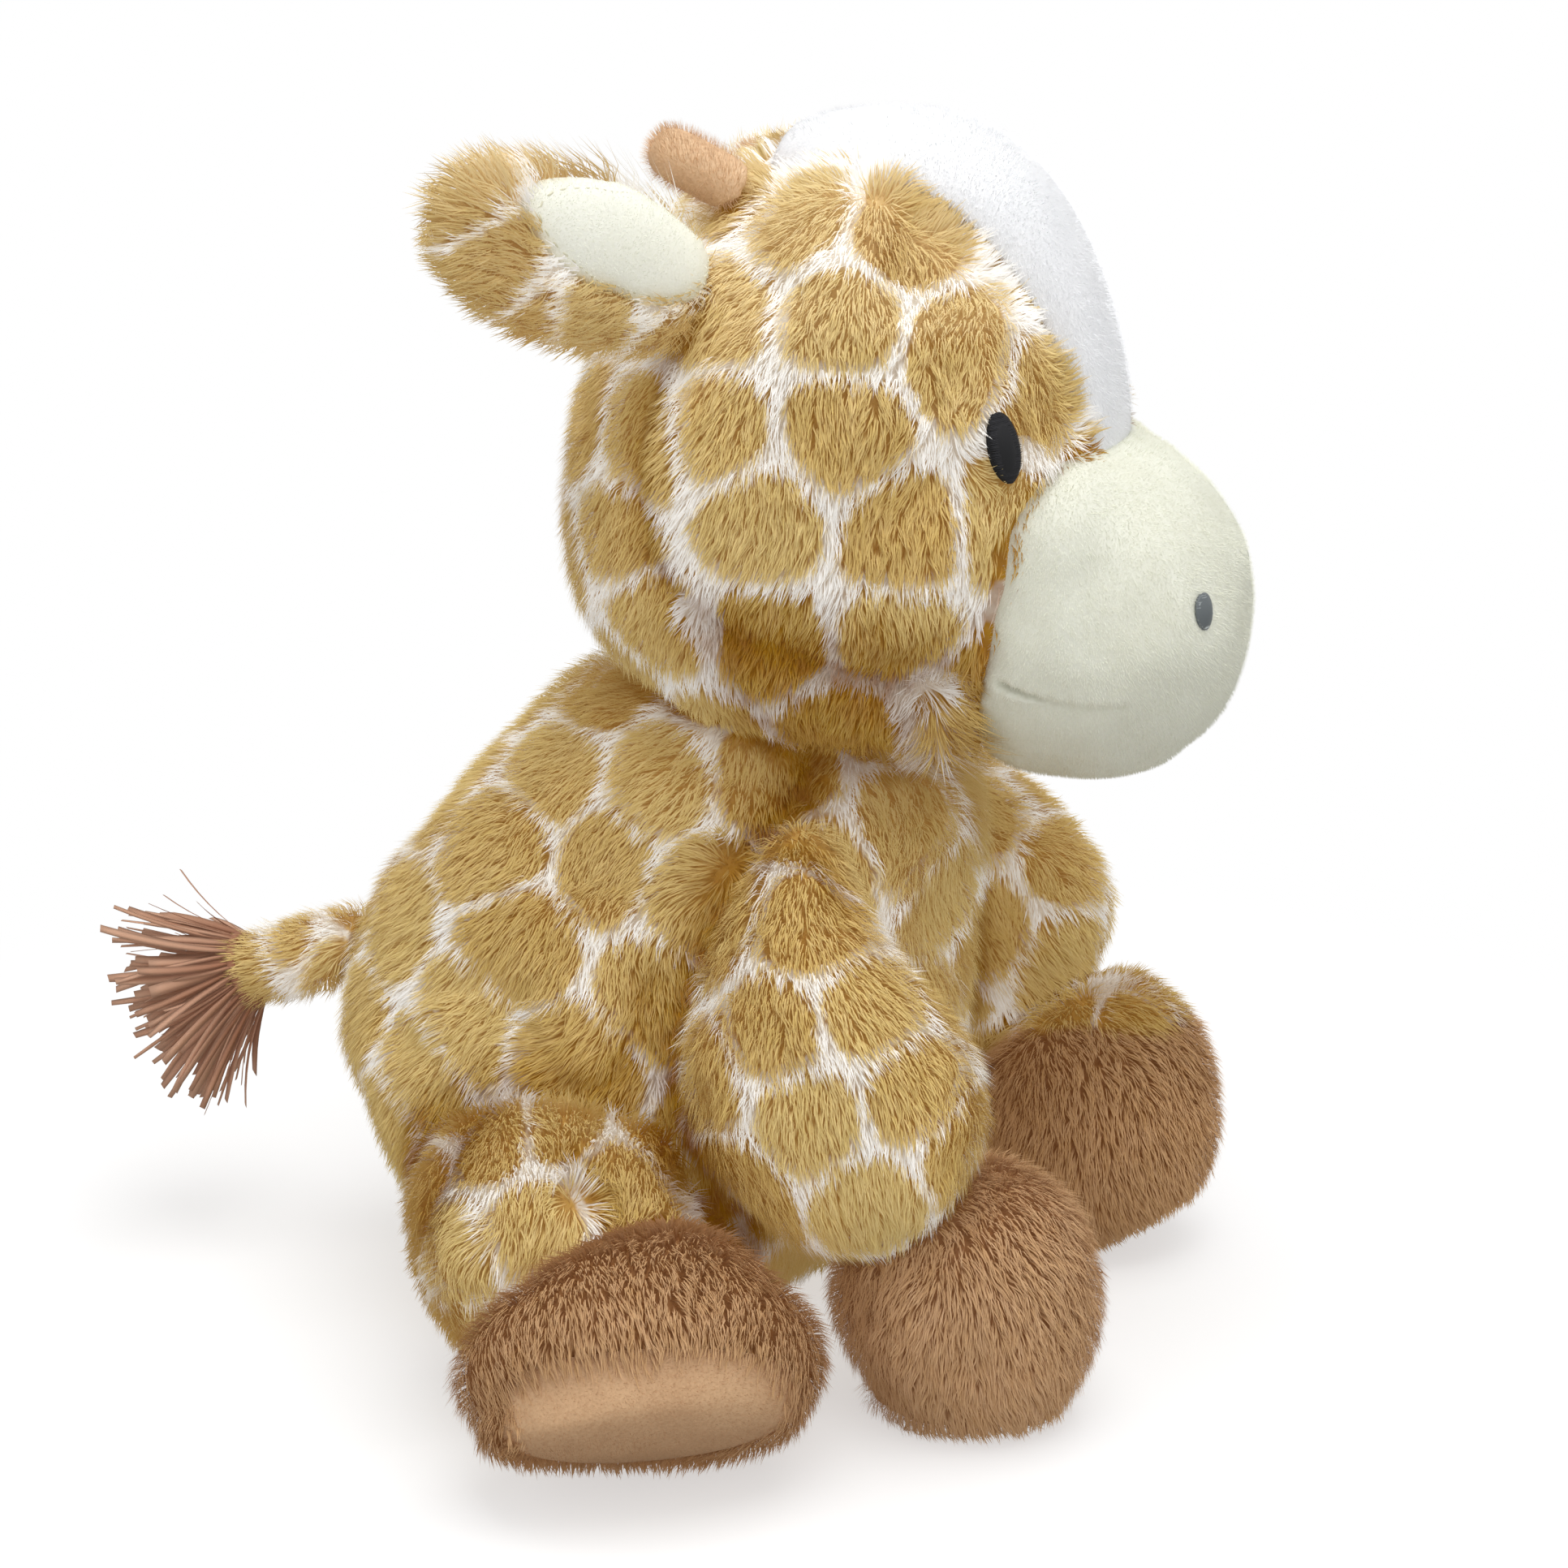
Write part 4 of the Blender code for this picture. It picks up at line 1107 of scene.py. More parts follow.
def laid(tree, top, way, stray):
    """The rotation that turns a shape's top and length as wanted, astray by three angles."""
    turned = node(tree, "FunctionNodeAlignRotationToVector", {"axis": "Z"}, {"Vector": top})
    turned = node(tree, "FunctionNodeAlignRotationToVector", {"axis": "Y", "pivot_axis": "Z"},
                  {"Rotation": turned, "Vector": way})
    angles = node(tree, "ShaderNodeCombineXYZ", {}, dict(enumerate(stray)))
    astray = node(tree, "FunctionNodeEulerToRotation", {}, {"Euler": angles})
    return node(tree, "FunctionNodeRotateRotation", {"rotation_space": "LOCAL"},
                {"Rotation": turned, "Rotate By": astray})


def put_shapes(tree, points, shapes, last, seed, rotation, size, tone, finish):
    """Ends a tree: one of the shapes on each point, made real, with its tone and finish."""
    points = node(tree, "GeometryNodeStoreNamedAttribute", {"data_type": "FLOAT", "domain": "POINT"},
                  {"Geometry": points, "Name": "strand", "Value": tone})
    shapes = node(tree, "GeometryNodeCollectionInfo", {},
                  {"Collection": shapes, "Separate Children": True, "Reset Children": True})
    index = node(tree, "FunctionNodeRandomValue", {"data_type": "INT"}, {4: 0, 5: last, "Seed": seed}, 2)
    put = node(tree, "GeometryNodeInstanceOnPoints", {},
               {"Points": points, "Instance": shapes, "Pick Instance": True, "Instance Index": index,
                "Rotation": rotation, "Scale": size})
    real = node(tree, "GeometryNodeRealizeInstances", {}, {"Geometry": put})
    finished = node(tree, "GeometryNodeSetMaterial", {}, {"Geometry": real, "Material": finish})
    node(tree, "NodeGroupOutput", {}, {0: finished}, None)


KEPT_FACTS = ("along", "strand", "inside", "tone", "dark", "brown")


def run_tree(piece, tree, settings):
    """Runs a tree on a piece and keeps the result, with the facts that a finish reads."""
    runner = piece.modifiers.new("tree", "NODES")
    runner.node_group = tree
    for item in tree.interface.items_tree:
        if item.in_out == "INPUT" and item.name in settings:
            runner[item.identifier] = settings[item.name]
    mesh = settled(piece).data
    for extra in [a.name for a in mesh.attributes if not a.is_required and a.name not in KEPT_FACTS]:
        if extra in mesh.attributes and not extra.startswith((".", "material_index", "sharp")):
            mesh.attributes.remove(mesh.attributes[extra])
    shade_smooth(mesh)


def enter(piece, node_name, fill=None, replaces=True):
    """Lets a piece ride with a solid's body; most pieces also replace the solid."""
    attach(piece, body_of[node_name])
    if replaces:
        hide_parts(node_name)


print("parts of a tree ready")

# %% Strand tree
PILE_INPUTS = {"Strands a cm2": 130.0, "Strand width mm": 0.32, "Tuft mm": 5.0, "Tuft strength": 0.36,
               "Swirl mm": 34.0, "Swirl strength": 0.6, "Length spread": 0.18, "Tufts a cm2": 13.0,
               "Cling": 0.2, "Panel": 0, "Seed": 1, "Finish": "Material"}
TUFT_SEED, TUFT_TONE_SEED, CLING_PULL, CLING_TIP = 5, 12, 600, 0.3


def wander_field(tree, place, size, strength):
    """A random direction that changes over a size in millimetres."""
    waves = node(tree, "ShaderNodeTexNoise", {},
                 {"Vector": place, "Scale": 1000.0 / size, "Detail": 1.0}, "Color")
    return vector_sum(tree, "SCALE", vector_sum(tree, "SUBTRACT", waves, (0.5, 0.5, 0.5)), strength * 3.0)


def pile_tree(name, shapes):
    """Scatters strands over a skin: density, width, tuft size and tuft strength are inputs."""
    tree, given = geometry_tree(name, PILE_INPUTS)
    place, flow = node(tree, "GeometryNodeInputPosition"), fact(tree, "flow", "FLOAT_VECTOR")

    def rand(low, high, offset):
        return random_value(tree, given["Seed"] + offset, low, high)

    here = node(tree, "FunctionNodeCompare", {"data_type": "INT", "operation": "EQUAL"},
                {2: fact(tree, "panel", "INT"), 3: given["Panel"]})
    scatter = node(tree, "GeometryNodeDistributePointsOnFaces", {"distribute_method": "RANDOM"},
                   {"Mesh": given["Geometry"], "Selection": here, "Seed": given["Seed"],
                    "Density": given["Strands a cm2"] * fact(tree, "cover") * 1e4}, None)
    middles = node(tree, "GeometryNodeDistributePointsOnFaces", {"distribute_method": "RANDOM"},
                   {"Mesh": given["Geometry"], "Density": given["Tufts a cm2"] * 1e4, "Seed": TUFT_SEED})
    mine = node(tree, "GeometryNodeSampleNearest", {"domain": "POINT"}, {"Geometry": middles})
    centre = node(tree, "GeometryNodeSampleIndex", {"data_type": "FLOAT_VECTOR", "domain": "POINT"},
                  {"Geometry": middles, "Value": place, "Index": mine})
    pull = vector_sum(tree, "SCALE", vector_sum(tree, "SUBTRACT", centre, place), given["Cling"] * CLING_PULL)
    lean = flow
    for kind in ("Tuft", "Swirl"):
        bend = wander_field(tree, place, given[kind + " mm"], given[kind + " strength"])
        lean = vector_sum(tree, "ADD", lean, bend)
    lean = vector_sum(tree, "ADD", lean, pull)
    tip_down = vector_sum(tree, "DOT_PRODUCT", pull, flow, 1)
    tuft_tone = node(tree, "FunctionNodeRandomValue", {"data_type": "FLOAT"},
                     {2: 0.0, 3: 1.0, "ID": mine, "Seed": TUFT_TONE_SEED}, 1)
    turned = laid(tree, Field(tree, scatter.outputs["Normal"]), lean,
                  (rand(-0.10, 0.10, 3) - tip_down * CLING_TIP, rand(-0.12, 0.12, 4), rand(-0.18, 0.18, 5)))
    long = fact(tree, "pile") * (1 + given["Length spread"] * rand(-1.0, 0.7, 6))
    wide = given["Strand width mm"] * rand(0.7 * MM, 1.3 * MM, 7)
    size = node(tree, "ShaderNodeCombineXYZ", {}, {0: wide, 1: long, 2: long})
    put_shapes(tree, Field(tree, scatter.outputs["Points"]), shapes, len(shapes.objects) - 1,
               given["Seed"] + 9, turned, size, rand(0.0, 0.6, 8) + tuft_tone * 0.4, given["Finish"])
    return tree


pile_nodes = pile_tree("pile", strand_shapes)
nap_nodes = pile_tree("nap", nap_shapes)
print("pile inputs:", list(PILE_INPUTS))

# %% [markdown]
# ## Fur finishes
#
# Printed pile is gold or cream, and its strands are painted darker towards their roots: painted shade, where
# light hardly gets.
# Light also wanders from fibre to fibre, which a few opaque ribbons can't show, so a little
# of the same colour is given back as a painted glow. A flat colour on the strands reads as plastic.
# Here the colour runs along each strand, differs a little from strand to strand, and changes
# at the patches' borders, which waver; painted shade from the skin also darkens it in creases and between
# forms.

# %% Fur finishes
# Painted glow: the pile emits this much of its own colour, in place of light scattered between fibres
FIBRE_GLOW = 0.16
FUR = {"rough": 0.85, "Specular_IOR_Level": 0.15, "Emission_Strength": FIBRE_GLOW}
# Root and tip colours of each pile; the gold pairs are mixed by a patch's tone. The roots' darker colours are
# painted shade.
GOLD_ROOTS, GOLD_TIPS = (rgba(198, 160, 92), rgba(188, 145, 75)), (rgba(219, 196, 134), rgba(211, 183, 116))
CREAM, HOOF_BROWN = (rgba(227, 218, 205), rgba(246, 244, 240)), (rgba(158, 113, 74), rgba(202, 165, 124))
# The brown that painted shade takes the pile towards, in creases, crevices and between forms
PAINTED_SHADE_BROWN = rgba(148, 94, 42)
# How far a patch's border wavers and how soft it is, in millimetres
WAVER, BORDER_FROM, BORDER_TO = 2.6, 0.5, 1.9


def fur_facts(tree, strands):
    """Place along a strand, the strand's own tone and a slow wash; the cloth below is all root."""
    along = attribute(tree, "along") if strands else 0.0
    strand = attribute(tree, "strand") if strands else noise(tree, 900)
    return along, strand, noise(tree, 45, 3)


def fur_colour(tree, root, tip, along, strand, wash):
    """Root to tip, with lighter and darker strands, a slow wash over the form, and painted shade."""
    # Painted shade moves the colour towards the root's and lowers its value
    dark = attribute(tree, "dark")
    base = mix_colour(tree, stretch(tree, along - dark * 0.55, 0.0, 0.65), root, tip)
    return node(tree, "ShaderNodeHueSaturation", {},
                {"Value": 0.90 + strand * 0.12 + (wash - 0.5) * 0.20 - dark * 0.22,
                 "Saturation": 1.06 - strand * 0.12 + dark * 0.25, "Color": base})


def fur_finish(name, strands):
    """Patterned pile, with the brown of a hoof where the cloth says so."""
    made, tree, _ = new_material(name, **FUR)
    facts, tone = fur_facts(tree, strands), attribute(tree, "tone")
    inside = attribute(tree, "inside") + (noise(tree, 240) - 0.5) * WAVER
    gold = fur_colour(tree, mix_colour(tree, tone, *GOLD_ROOTS), mix_colour(tree, tone, *GOLD_TIPS), *facts)
    cream = fur_colour(tree, *CREAM, *facts)
    colour = mix_colour(tree, stretch(tree, inside, BORDER_FROM, BORDER_TO), cream, gold)
    # Painted shade: in blotches, the colour goes towards a deep brown where the skin stores shade
    blotch = stretch(tree, noise(tree, 170, 3), 0.35, 0.65, 0.35, 0.95)
    colour = mix_colour(tree, attribute(tree, "dark") * blotch, colour, PAINTED_SHADE_BROWN)
    brown = fur_colour(tree, *HOOF_BROWN, *facts)
    show(made, mix_colour(tree, attribute(tree, "brown"), colour, brown), shines=True)
    return made


def hoof_finish(name, strands):
    """Brown pile."""
    made, tree, _ = new_material(name, **FUR)
    show(made, fur_colour(tree, *HOOF_BROWN, *fur_facts(tree, strands)), shines=True)
    return made


fur_strands, fur_cloth = fur_finish("giraffe_fur_strands", True), fur_finish("giraffe_fur_cloth", False)
hoof_strands, hoof_cloth = hoof_finish("brown_fur_strands", True), hoof_finish("brown_fur_cloth", False)
print("fur finishes ready")

# %% [markdown]
# ## Growing the pile
#
# The tree runs once for each sewn panel, so that no piece is too heavy,
# and new_from_object keeps the result as a plain mesh.

# %% Growing the pile
DENSITY = 205.0
EAR_DENSER, LOWEST_TIP = 1.5, 0.2 * MM
# A long strand is a face of four corners and one of three
STRAND_FACES = 2


def grow(skin, name, tree, settings):
    """Grows pile on a copy of a skin, as a piece of its own that stays above the floor."""
    piece = new_piece(name, skin.data.copy())
    run_tree(piece, tree, settings)
    lift_off_floor(piece.data, LOWEST_TIP)
    return piece


strand_count = 0
for number, name in enumerate(FORMS):
    skin, kind = skins[name], kind_of(name)
    hoof, two_tone = "hoof" in kind, name == "front_hoof_left"
    strands, cloth = (hoof_strands, hoof_cloth) if hoof and not two_tone else (fur_strands, fur_cloth)
    panels = np.empty(len(skin.data.polygons), np.int32)
    skin.data.attributes["panel"].data.foreach_get("value", panels)
    for panel in sorted(set(panels.tolist())):
        fur = grow(skin, f"{name}_fur_{panel}", pile_nodes,
                   {"Panel": panel, "Seed": 20 * number + panel + 1, "Finish": strands,
                    "Strands a cm2": DENSITY * (EAR_DENSER if kind == "ear" else 1)})
        enter(fur, name, replaces=False)
        grown = len(fur.data.polygons) // STRAND_FACES
        strand_count += grown
        print(fur.name, grown, "strands")
    dressed(skin.data, cloth)
    enter(skin, name, fill=0.75 if kind in ("body", "head") else 0.6)
print("strands in all:", strand_count)

# %% [markdown]
# ## Short pile
#
# The muzzle, blaze, linings, horns and soles are a plush with a nap of under three millimetres.
# A bump alone leaves a hard outline. A second tree of one-triangle strands, dense and short,
# stands on these forms, and the cloth below carries a fine noise in colour and bump.

# %% Short pile finishes
# Each plush: the colour of its tips and of its roots
NAPS = {
    "cream_plush": (rgba(242, 243, 230), rgba(234, 234, 218)),
    "lining_plush": (rgba(252, 252, 241), rgba(247, 247, 233)),
    "white_plush": (rgba(252, 252, 253), rgba(243, 244, 246)),
    "peach_plush": (rgba(244, 214, 178), rgba(222, 188, 150)),
    "tan_sole": (rgba(220, 182, 142), rgba(200, 160, 122)),
}
NAP_DENSITY, SOLE_DENSITY, NAP_WIDE, NAP_SEED = 360.0, 220.0, 0.16, 7


def nap_finish(name, colour, shade, strands):
    """Short pile: paler tips, a slow wash and a fine mottling."""
    made, tree, shader = new_material(name, Specular_IOR_Level=0.12)
    wash, fine = noise(tree, 60, 3), noise(tree, 1500)
    share = stretch(tree, wash * 0.5 + fine * 0.5, 0.25, 0.75)
    if strands:
        share = share * 0.4 + attribute(tree, "along") * 0.3 + attribute(tree, "strand") * 0.3
    else:
        pebbles = node(tree, "ShaderNodeBump", {}, {"Strength": 0.25, "Distance": 0.0006, "Height": fine})
        tree.links.new(pebbles.socket, shader.inputs["Normal"])
    # Painted shade: where the cloth stores it, as along the muzzle's dart, the colour goes towards a darker
    # copy of the roots' colour
    seam = node(tree, "ShaderNodeHueSaturation", {}, {"Value": 0.62, "Saturation": 1.6, "Color": shade})
    show(made, mix_colour(tree, attribute(tree, "dark") * 0.9, mix_colour(tree, share, shade, colour), seam))
    return made


nap_finishes = {name: (nap_finish(name + "_cloth", *pair, False), nap_finish(name + "_nap", *pair, True))
                for name, pair in NAPS.items()}


def dress_nap(piece, node_name, plush, fill, length, flow, density=NAP_DENSITY, bald=0.0):
    """Gives a piece of short pile its finish and its nap, and lets it replace its solid."""
    mesh = piece.data
    points, out = points_of(mesh), normals_of(mesh)
    store(mesh, "flow", along_cloth(np.tile(np.array(flow, float), (len(points), 1)), out))
    store(mesh, "pile", np.full(len(points), length))
    store(mesh, "cover", 1 - bald * np.ones(len(points)))
    mesh.attributes.new("panel", "INT", "FACE")
    cloth, strands = nap_finishes[plush]
    nap = grow(piece, piece.name + "_nap", nap_nodes,
               {"Strands a cm2": density, "Strand width mm": NAP_WIDE,
                "Tuft mm": 2.5, "Tuft strength": 0.4, "Cling": 0.0, "Length spread": 0.12,
                "Seed": NAP_SEED, "Finish": strands})
    dressed(mesh, cloth)
    enter(piece, node_name, fill)
    enter(nap, node_name, replaces=False)
    print(piece.name, "with", len(nap.data.polygons), "short strands")


print("short pile ready")

# %% [markdown]
# ## Muzzle
#
# One cream panel stuffed round, with a dart on each side that reads as the mouth.
# The dart is a seam, so the cloth dives into it and puckers a little beside it.
# It could be a bump, but a low sun would show no fold: here the vertices move, and the fold's shade is also
# painted along the line.

# %% Muzzle
DART = np.array(((-42, -77, 174.5), (-42.6, -83, 172.6), (-42.7, -89, 171.2), (-42, -96, 170.4),
                 (-40, -103, 170.2), (-37, -109, 170.4))) * MM
DART_DEEP, DART_WIDE, DART_LINE, DART_FADE = 2.3 * MM, 1.1 * MM, 1.0 * MM, 0.14
PUCKER_HIGH, PUCKER_WIDE, PUCKERS = 0.30 * MM, 3.0 * MM, 52
LIP_HIGH, LIP_WIDE, LIP_FROM, LIP_TO = 0.7 * MM, 3.5 * MM, 0.1700, 0.1712
# How far its cloth sinks where it is free, and reaches into the head where it is sewn on
MUZZLE_SINK, MUZZLE_REACH = 0.0012, 0.0015
MUZZLE_PRESSURE, MUZZLE_PUSH, MUZZLE_CALM = 3.0, 0.0008, 14

muzzle = even_form("muzzle_cloth", 0.0026, 16, outer["muzzle"].copy())
points, out = points_of(muzzle.data), normals_of(muzzle.data)
free = freedom(points, out, [outer_tree["head"]])
put_points(muzzle.data, points - out * (MUZZLE_SINK * free - MUZZLE_REACH * (1 - free))[:, None])
points = points_of(muzzle.data)
room = nearest(points, [outer_tree["head"]])
gap, share = along_line(mirrored_to_right(points), DART)
held = np.maximum(1 - smoothstep(room, 0.0015, 0.006), 1 - smoothstep(gap, 0.001, 0.004))
puff(muzzle, MUZZLE_PRESSURE, MUZZLE_PUSH, held)
calm = muzzle.modifiers.new("calm", "SMOOTH")
calm.factor, calm.iterations = 0.5, MUZZLE_CALM
subdivided(muzzle, 2)
points, out = points_of(muzzle.data), normals_of(muzzle.data)
gap, share = along_line(mirrored_to_right(points), DART)
fade = smoothstep(1 - share, 0.0, DART_FADE)
pucker = PUCKER_HIGH * np.sin(share * PUCKERS) * np.exp(-(gap / PUCKER_WIDE) ** 2) * fade
pucker -= LIP_HIGH * smoothstep(points[:, 2], LIP_FROM, LIP_TO) * np.exp(-(gap / LIP_WIDE) ** 2) * fade
dive = DART_DEEP * np.exp(-(gap / DART_WIDE) ** 2) * fade
put_points(muzzle.data, points - out * (dive + pucker)[:, None])
# Painted shade along the dart's line; the same line also loses most of its nap
seam = np.exp(-(gap / DART_LINE) ** 4) * fade
store(muzzle.data, "dark", seam)
dress_nap(muzzle, "muzzle", "cream_plush", 0.8, 0.0010, (0, -0.2, -1), bald=0.8 * seam)

# %% [markdown]
# ## Blaze
#
# The white panel runs from the muzzle over the forehead to the crown.
# It is a sheet laid on the head: rays go in from outside at each place of a grid and find
# the head's smooth form. Its middle is crowned and its edges dive into the seams.

# %% Sheets
def closed_sheet(name, rows, thickness, around=False):
    """A grid of points closed into a thin shell; around closes its rows into rings."""
    rows = np.array(rows)
    high, wide = rows.shape[:2]
    index = np.arange(high * wide).reshape(high, wide).tolist()
    faces = [(index[i][j], index[i][(j + 1) % wide], index[i + 1][(j + 1) % wide], index[i + 1][j])
             for i in range(high - 1) for j in range(wide if around else wide - 1)]
    if around:
        faces.append(tuple(reversed(index[0])))
    mesh = bpy.data.meshes.new(name)
    mesh.from_pydata(rows.reshape(-1, 3).tolist(), [], faces)
    piece = new_piece(name, mesh)
    wall = piece.modifiers.new("wall", "SOLIDIFY")
    wall.thickness, wall.offset = thickness, 0 if around else -1
    faced_outwards(settled(piece).data)
    return piece


def polar_grid(rings, spokes, place_of):
    """Rings of points; place_of turns a share of the radius and an angle into a point."""
    turns = np.linspace(0, math.tau, spokes, endpoint=False)
    return [[place_of(radius, turn) for turn in turns] for radius in np.linspace(0.02, 1, rings)]


def on_form(form, spot, facing, above):
    """Where a ray from above a spot meets a form, or else the form's place nearest to it."""
    place = form.ray_cast(spot + facing * above, -facing)[0]
    return form.find_nearest(spot)[0] if place is None else place


def domed(radius, lift, dome, dive, power):
    """How high a sewn oval stands: lifted, crowned in the middle, and diving at its edge."""
    return (lift + dome * (1 - radius ** 2) - dive * radius ** power) * MM


print("sheets ready")

# %% Blaze
BLAZE_LIFT, BLAZE_CROWN, SEAM_DIVE, BLAZE_STITCH = 0.4 * MM, 1.2 * MM, 4.4 * MM, 0.35 * MM
BLAZE_FROM, BLAZE_TO, BLAZE_ROUND, RAY_LONG = 4, 103.5, 92, 0.11
head_smooth = even_tree(0.003, 8, outer["head"].copy())
rows = []
for angle in np.linspace(BLAZE_FROM, BLAZE_TO, 84):
    wide = np.interp(angle, BLAZE_RINGS[:, 0], BLAZE_RINGS[:, 1]) * MM
    way = Vector((0, -math.cos(math.radians(angle)), math.sin(math.radians(angle))))
    row = []
    for s in np.linspace(-1, 1, 45):
        start = Vector(HEAD_MIDDLE) + Vector((wide * s, 0, 0)) + way * RAY_LONG
        place, normal, _, _ = head_smooth.ray_cast(start, -way)
        edge = max(abs(s), smoothstep(np.array(angle), BLAZE_ROUND, BLAZE_TO).item())
        stitch = BLAZE_STITCH * math.sin(angle * 5.2) * edge ** 8
        rise = BLAZE_LIFT + BLAZE_CROWN * (1 - s * s) - SEAM_DIVE * edge ** 6 + stitch
        row.append(place + normal * rise)
    rows.append(row)
blaze = closed_sheet("blaze_cloth", rows, 0.0012)
dress_nap(blaze, "blaze", "white_plush", 0.7, 0.0012, (0, 0.4, -0.8))

# %% [markdown]
# ## Ear linings
#
# Each ear has an oval of cream plush sewn on its front face, a little domed.
# It is a polar grid laid on the ear's smooth form, the same way as the blaze.

# %% Ear linings
LINING_DOME = (0.4, 1.2, 1.5, 10)
lining_edges = {}
for side in ("right", "left"):
    ear_tree = even_tree(0.002, 6, outer["ear_" + side].copy())
    centre, face, long_way, across = lining_frame(side)

    def on_ear(radius, turn):
        far = float(np.interp(turn, outline_turn, outline_far, period=math.tau)) * radius * MM
        spot = centre + long_way * (far * math.cos(turn)) + across * (far * math.sin(turn))
        return on_form(ear_tree, spot, face, 0.03) + face * domed(radius, *LINING_DOME)

    rows = polar_grid(16, 48, on_ear)
    lining_edges[side] = (rows[-3], face)
    lining = closed_sheet(f"ear_lining_{side}_cloth", rows, 0.001, True)
    dress_nap(lining, f"ear_lining_{side}", "lining_plush", 0.5, 0.0006, tuple(EAR_LINE))

# %% [markdown]
# ## Horns and soles
#
# The horns are short stuffed tubes and the soles are flat pads, both with a very short nap.
# The left horn is only rounded and given pile. The right one, which the photograph shows, is
# also a little thicker, raised, and turned back about its root. The pile of a front hoof
# closes over its sole's rim, so less of that sole shows.
# The rear soles curve over the stuffed hoofs: rays find the hoof's form, as for the blaze.

# %% Horns and front soles
HORN_PLUMP, HORN_TURN, HORN_RISE, HORN_ROOT = 0.7 * MM, 13, 2.0 * MM, 3 * MM
SOLE_SHOWN, SOLE_NAP, SOLE_FLOW = 0.72, 0.9 * MM, (0, -1, 0)
for side in ("right", "left"):
    horn = even_form(f"horn_{side}_cloth", 0.0011, 5, outer["horn_" + side].copy())
    if side == "right":
        points, out = points_of(horn.data), normals_of(horn.data)
        points += out * HORN_PLUMP
        pivot = points[nearest(points, [outer_tree["head"]]) < HORN_ROOT].mean(0)
        turned = np.array(Matrix.Rotation(math.radians(HORN_TURN), 3, back))
        put_points(horn.data, pivot + (points - pivot) @ turned.T + np.array((0, 0, HORN_RISE)))
    dress_nap(horn, "horn_" + side, "peach_plush", 0.9, 0.0026, (0, 0.3, 1))
    mesh = outer[f"front_sole_{side}"].copy()
    corners = points_of(mesh)
    centre = corners.mean(0)
    ways = np.linalg.svd(corners - centre)[2]
    put_points(mesh, centre + (corners - centre) @ ways.T @ np.diag((SOLE_SHOWN, SOLE_SHOWN, 1.0)) @ ways)
    sole = even_form(f"front_sole_{side}_cloth", 0.0013, 4, mesh)
    dress_nap(sole, f"front_sole_{side}", "tan_sole", 0.8, SOLE_NAP, SOLE_FLOW, SOLE_DENSITY)

# %% Rear soles
SOLE_DOME = (-0.6, 1.6, 2.6, 8)
hoof_tree = even_tree(0.0025, 44, joined("rear_hoof_right", "rear_sole_right"))


def on_hoof(radius, turn):
    spot = Vector(SOLE_MIDDLE) + SOLE_ALONG * (SOLE_LONG * radius * math.cos(turn)) \
        + SOLE_ACROSS * (SOLE_SHORT * radius * math.sin(turn))
    return on_form(hoof_tree, spot, SOLE_FACING, 0.04) + SOLE_FACING * domed(radius, *SOLE_DOME)


rows = polar_grid(18, 64, on_hoof)
for side, sign in (("right", 1), ("left", -1)):
    flipped = [[(sign * q.x, q.y, q.z) for q in row] for row in rows]
    sole = closed_sheet(f"rear_sole_{side}_cloth", flipped, 0.0012, True)
    dress_nap(sole, f"rear_sole_{side}", "tan_sole", 0.8, SOLE_NAP, SOLE_FLOW, SOLE_DENSITY)

# %% [markdown]
# ## Threads, stitches and strips
#
# Embroidery, seam stitches and the tassel all repeat one small shape.
# The second tree puts a shape on every point of a carrier mesh. Each point holds the
# direction of the shape's length, the direction of its top, and its size.

# %% Placing tree
def placing_tree():
    """Puts one of some shapes on every point of a mesh, each a little astray."""
    tree, given = geometry_tree("placing", {"Shapes": "Collection", "Finish": "Material", "Last shape": 0,
                                            "Jitter": 0.05, "Size spread": 0.1, "Seed": 1})

    def rand(offset, low=-1.0):
        return random_value(tree, given["Seed"] + offset, low, 1.0)

    turned = laid(tree, fact(tree, "top", "FLOAT_VECTOR"), fact(tree, "length", "FLOAT_VECTOR"),
                  [rand(i) * given["Jitter"] for i in range(3)])
    size = vector_sum(tree, "SCALE", fact(tree, "size", "FLOAT_VECTOR"), 1 + rand(4) * given["Size spread"])
    put_shapes(tree, given["Geometry"], given["Shapes"], given["Last shape"], given["Seed"] + 6,
               turned, size, rand(5, 0.0), given["Finish"])
    return tree


placing_nodes = placing_tree()


def placed(name, node_name, rows, shapes, finish, jitter=0.05, spread=0.1, seed=1):
    """Puts shapes at rows of (place, length direction, top direction, size)."""
    mesh = bpy.data.meshes.new(name)
    mesh.from_pydata([tuple(row[0]) for row in rows], [], [])
    for column, key in enumerate(("length", "top", "size"), 1):
        store(mesh, key, [tuple(row[column]) for row in rows])
    piece = new_piece(name, mesh)
    run_tree(piece, placing_nodes, {"Shapes": shapes, "Finish": finish, "Last shape": len(shapes.objects) - 1,
                                    "Jitter": jitter, "Size spread": spread, "Seed": seed})
    enter(piece, node_name, replaces=False)
    print(name, len(rows), "shapes,", len(piece.data.polygons), "faces")


print("placing tree ready")

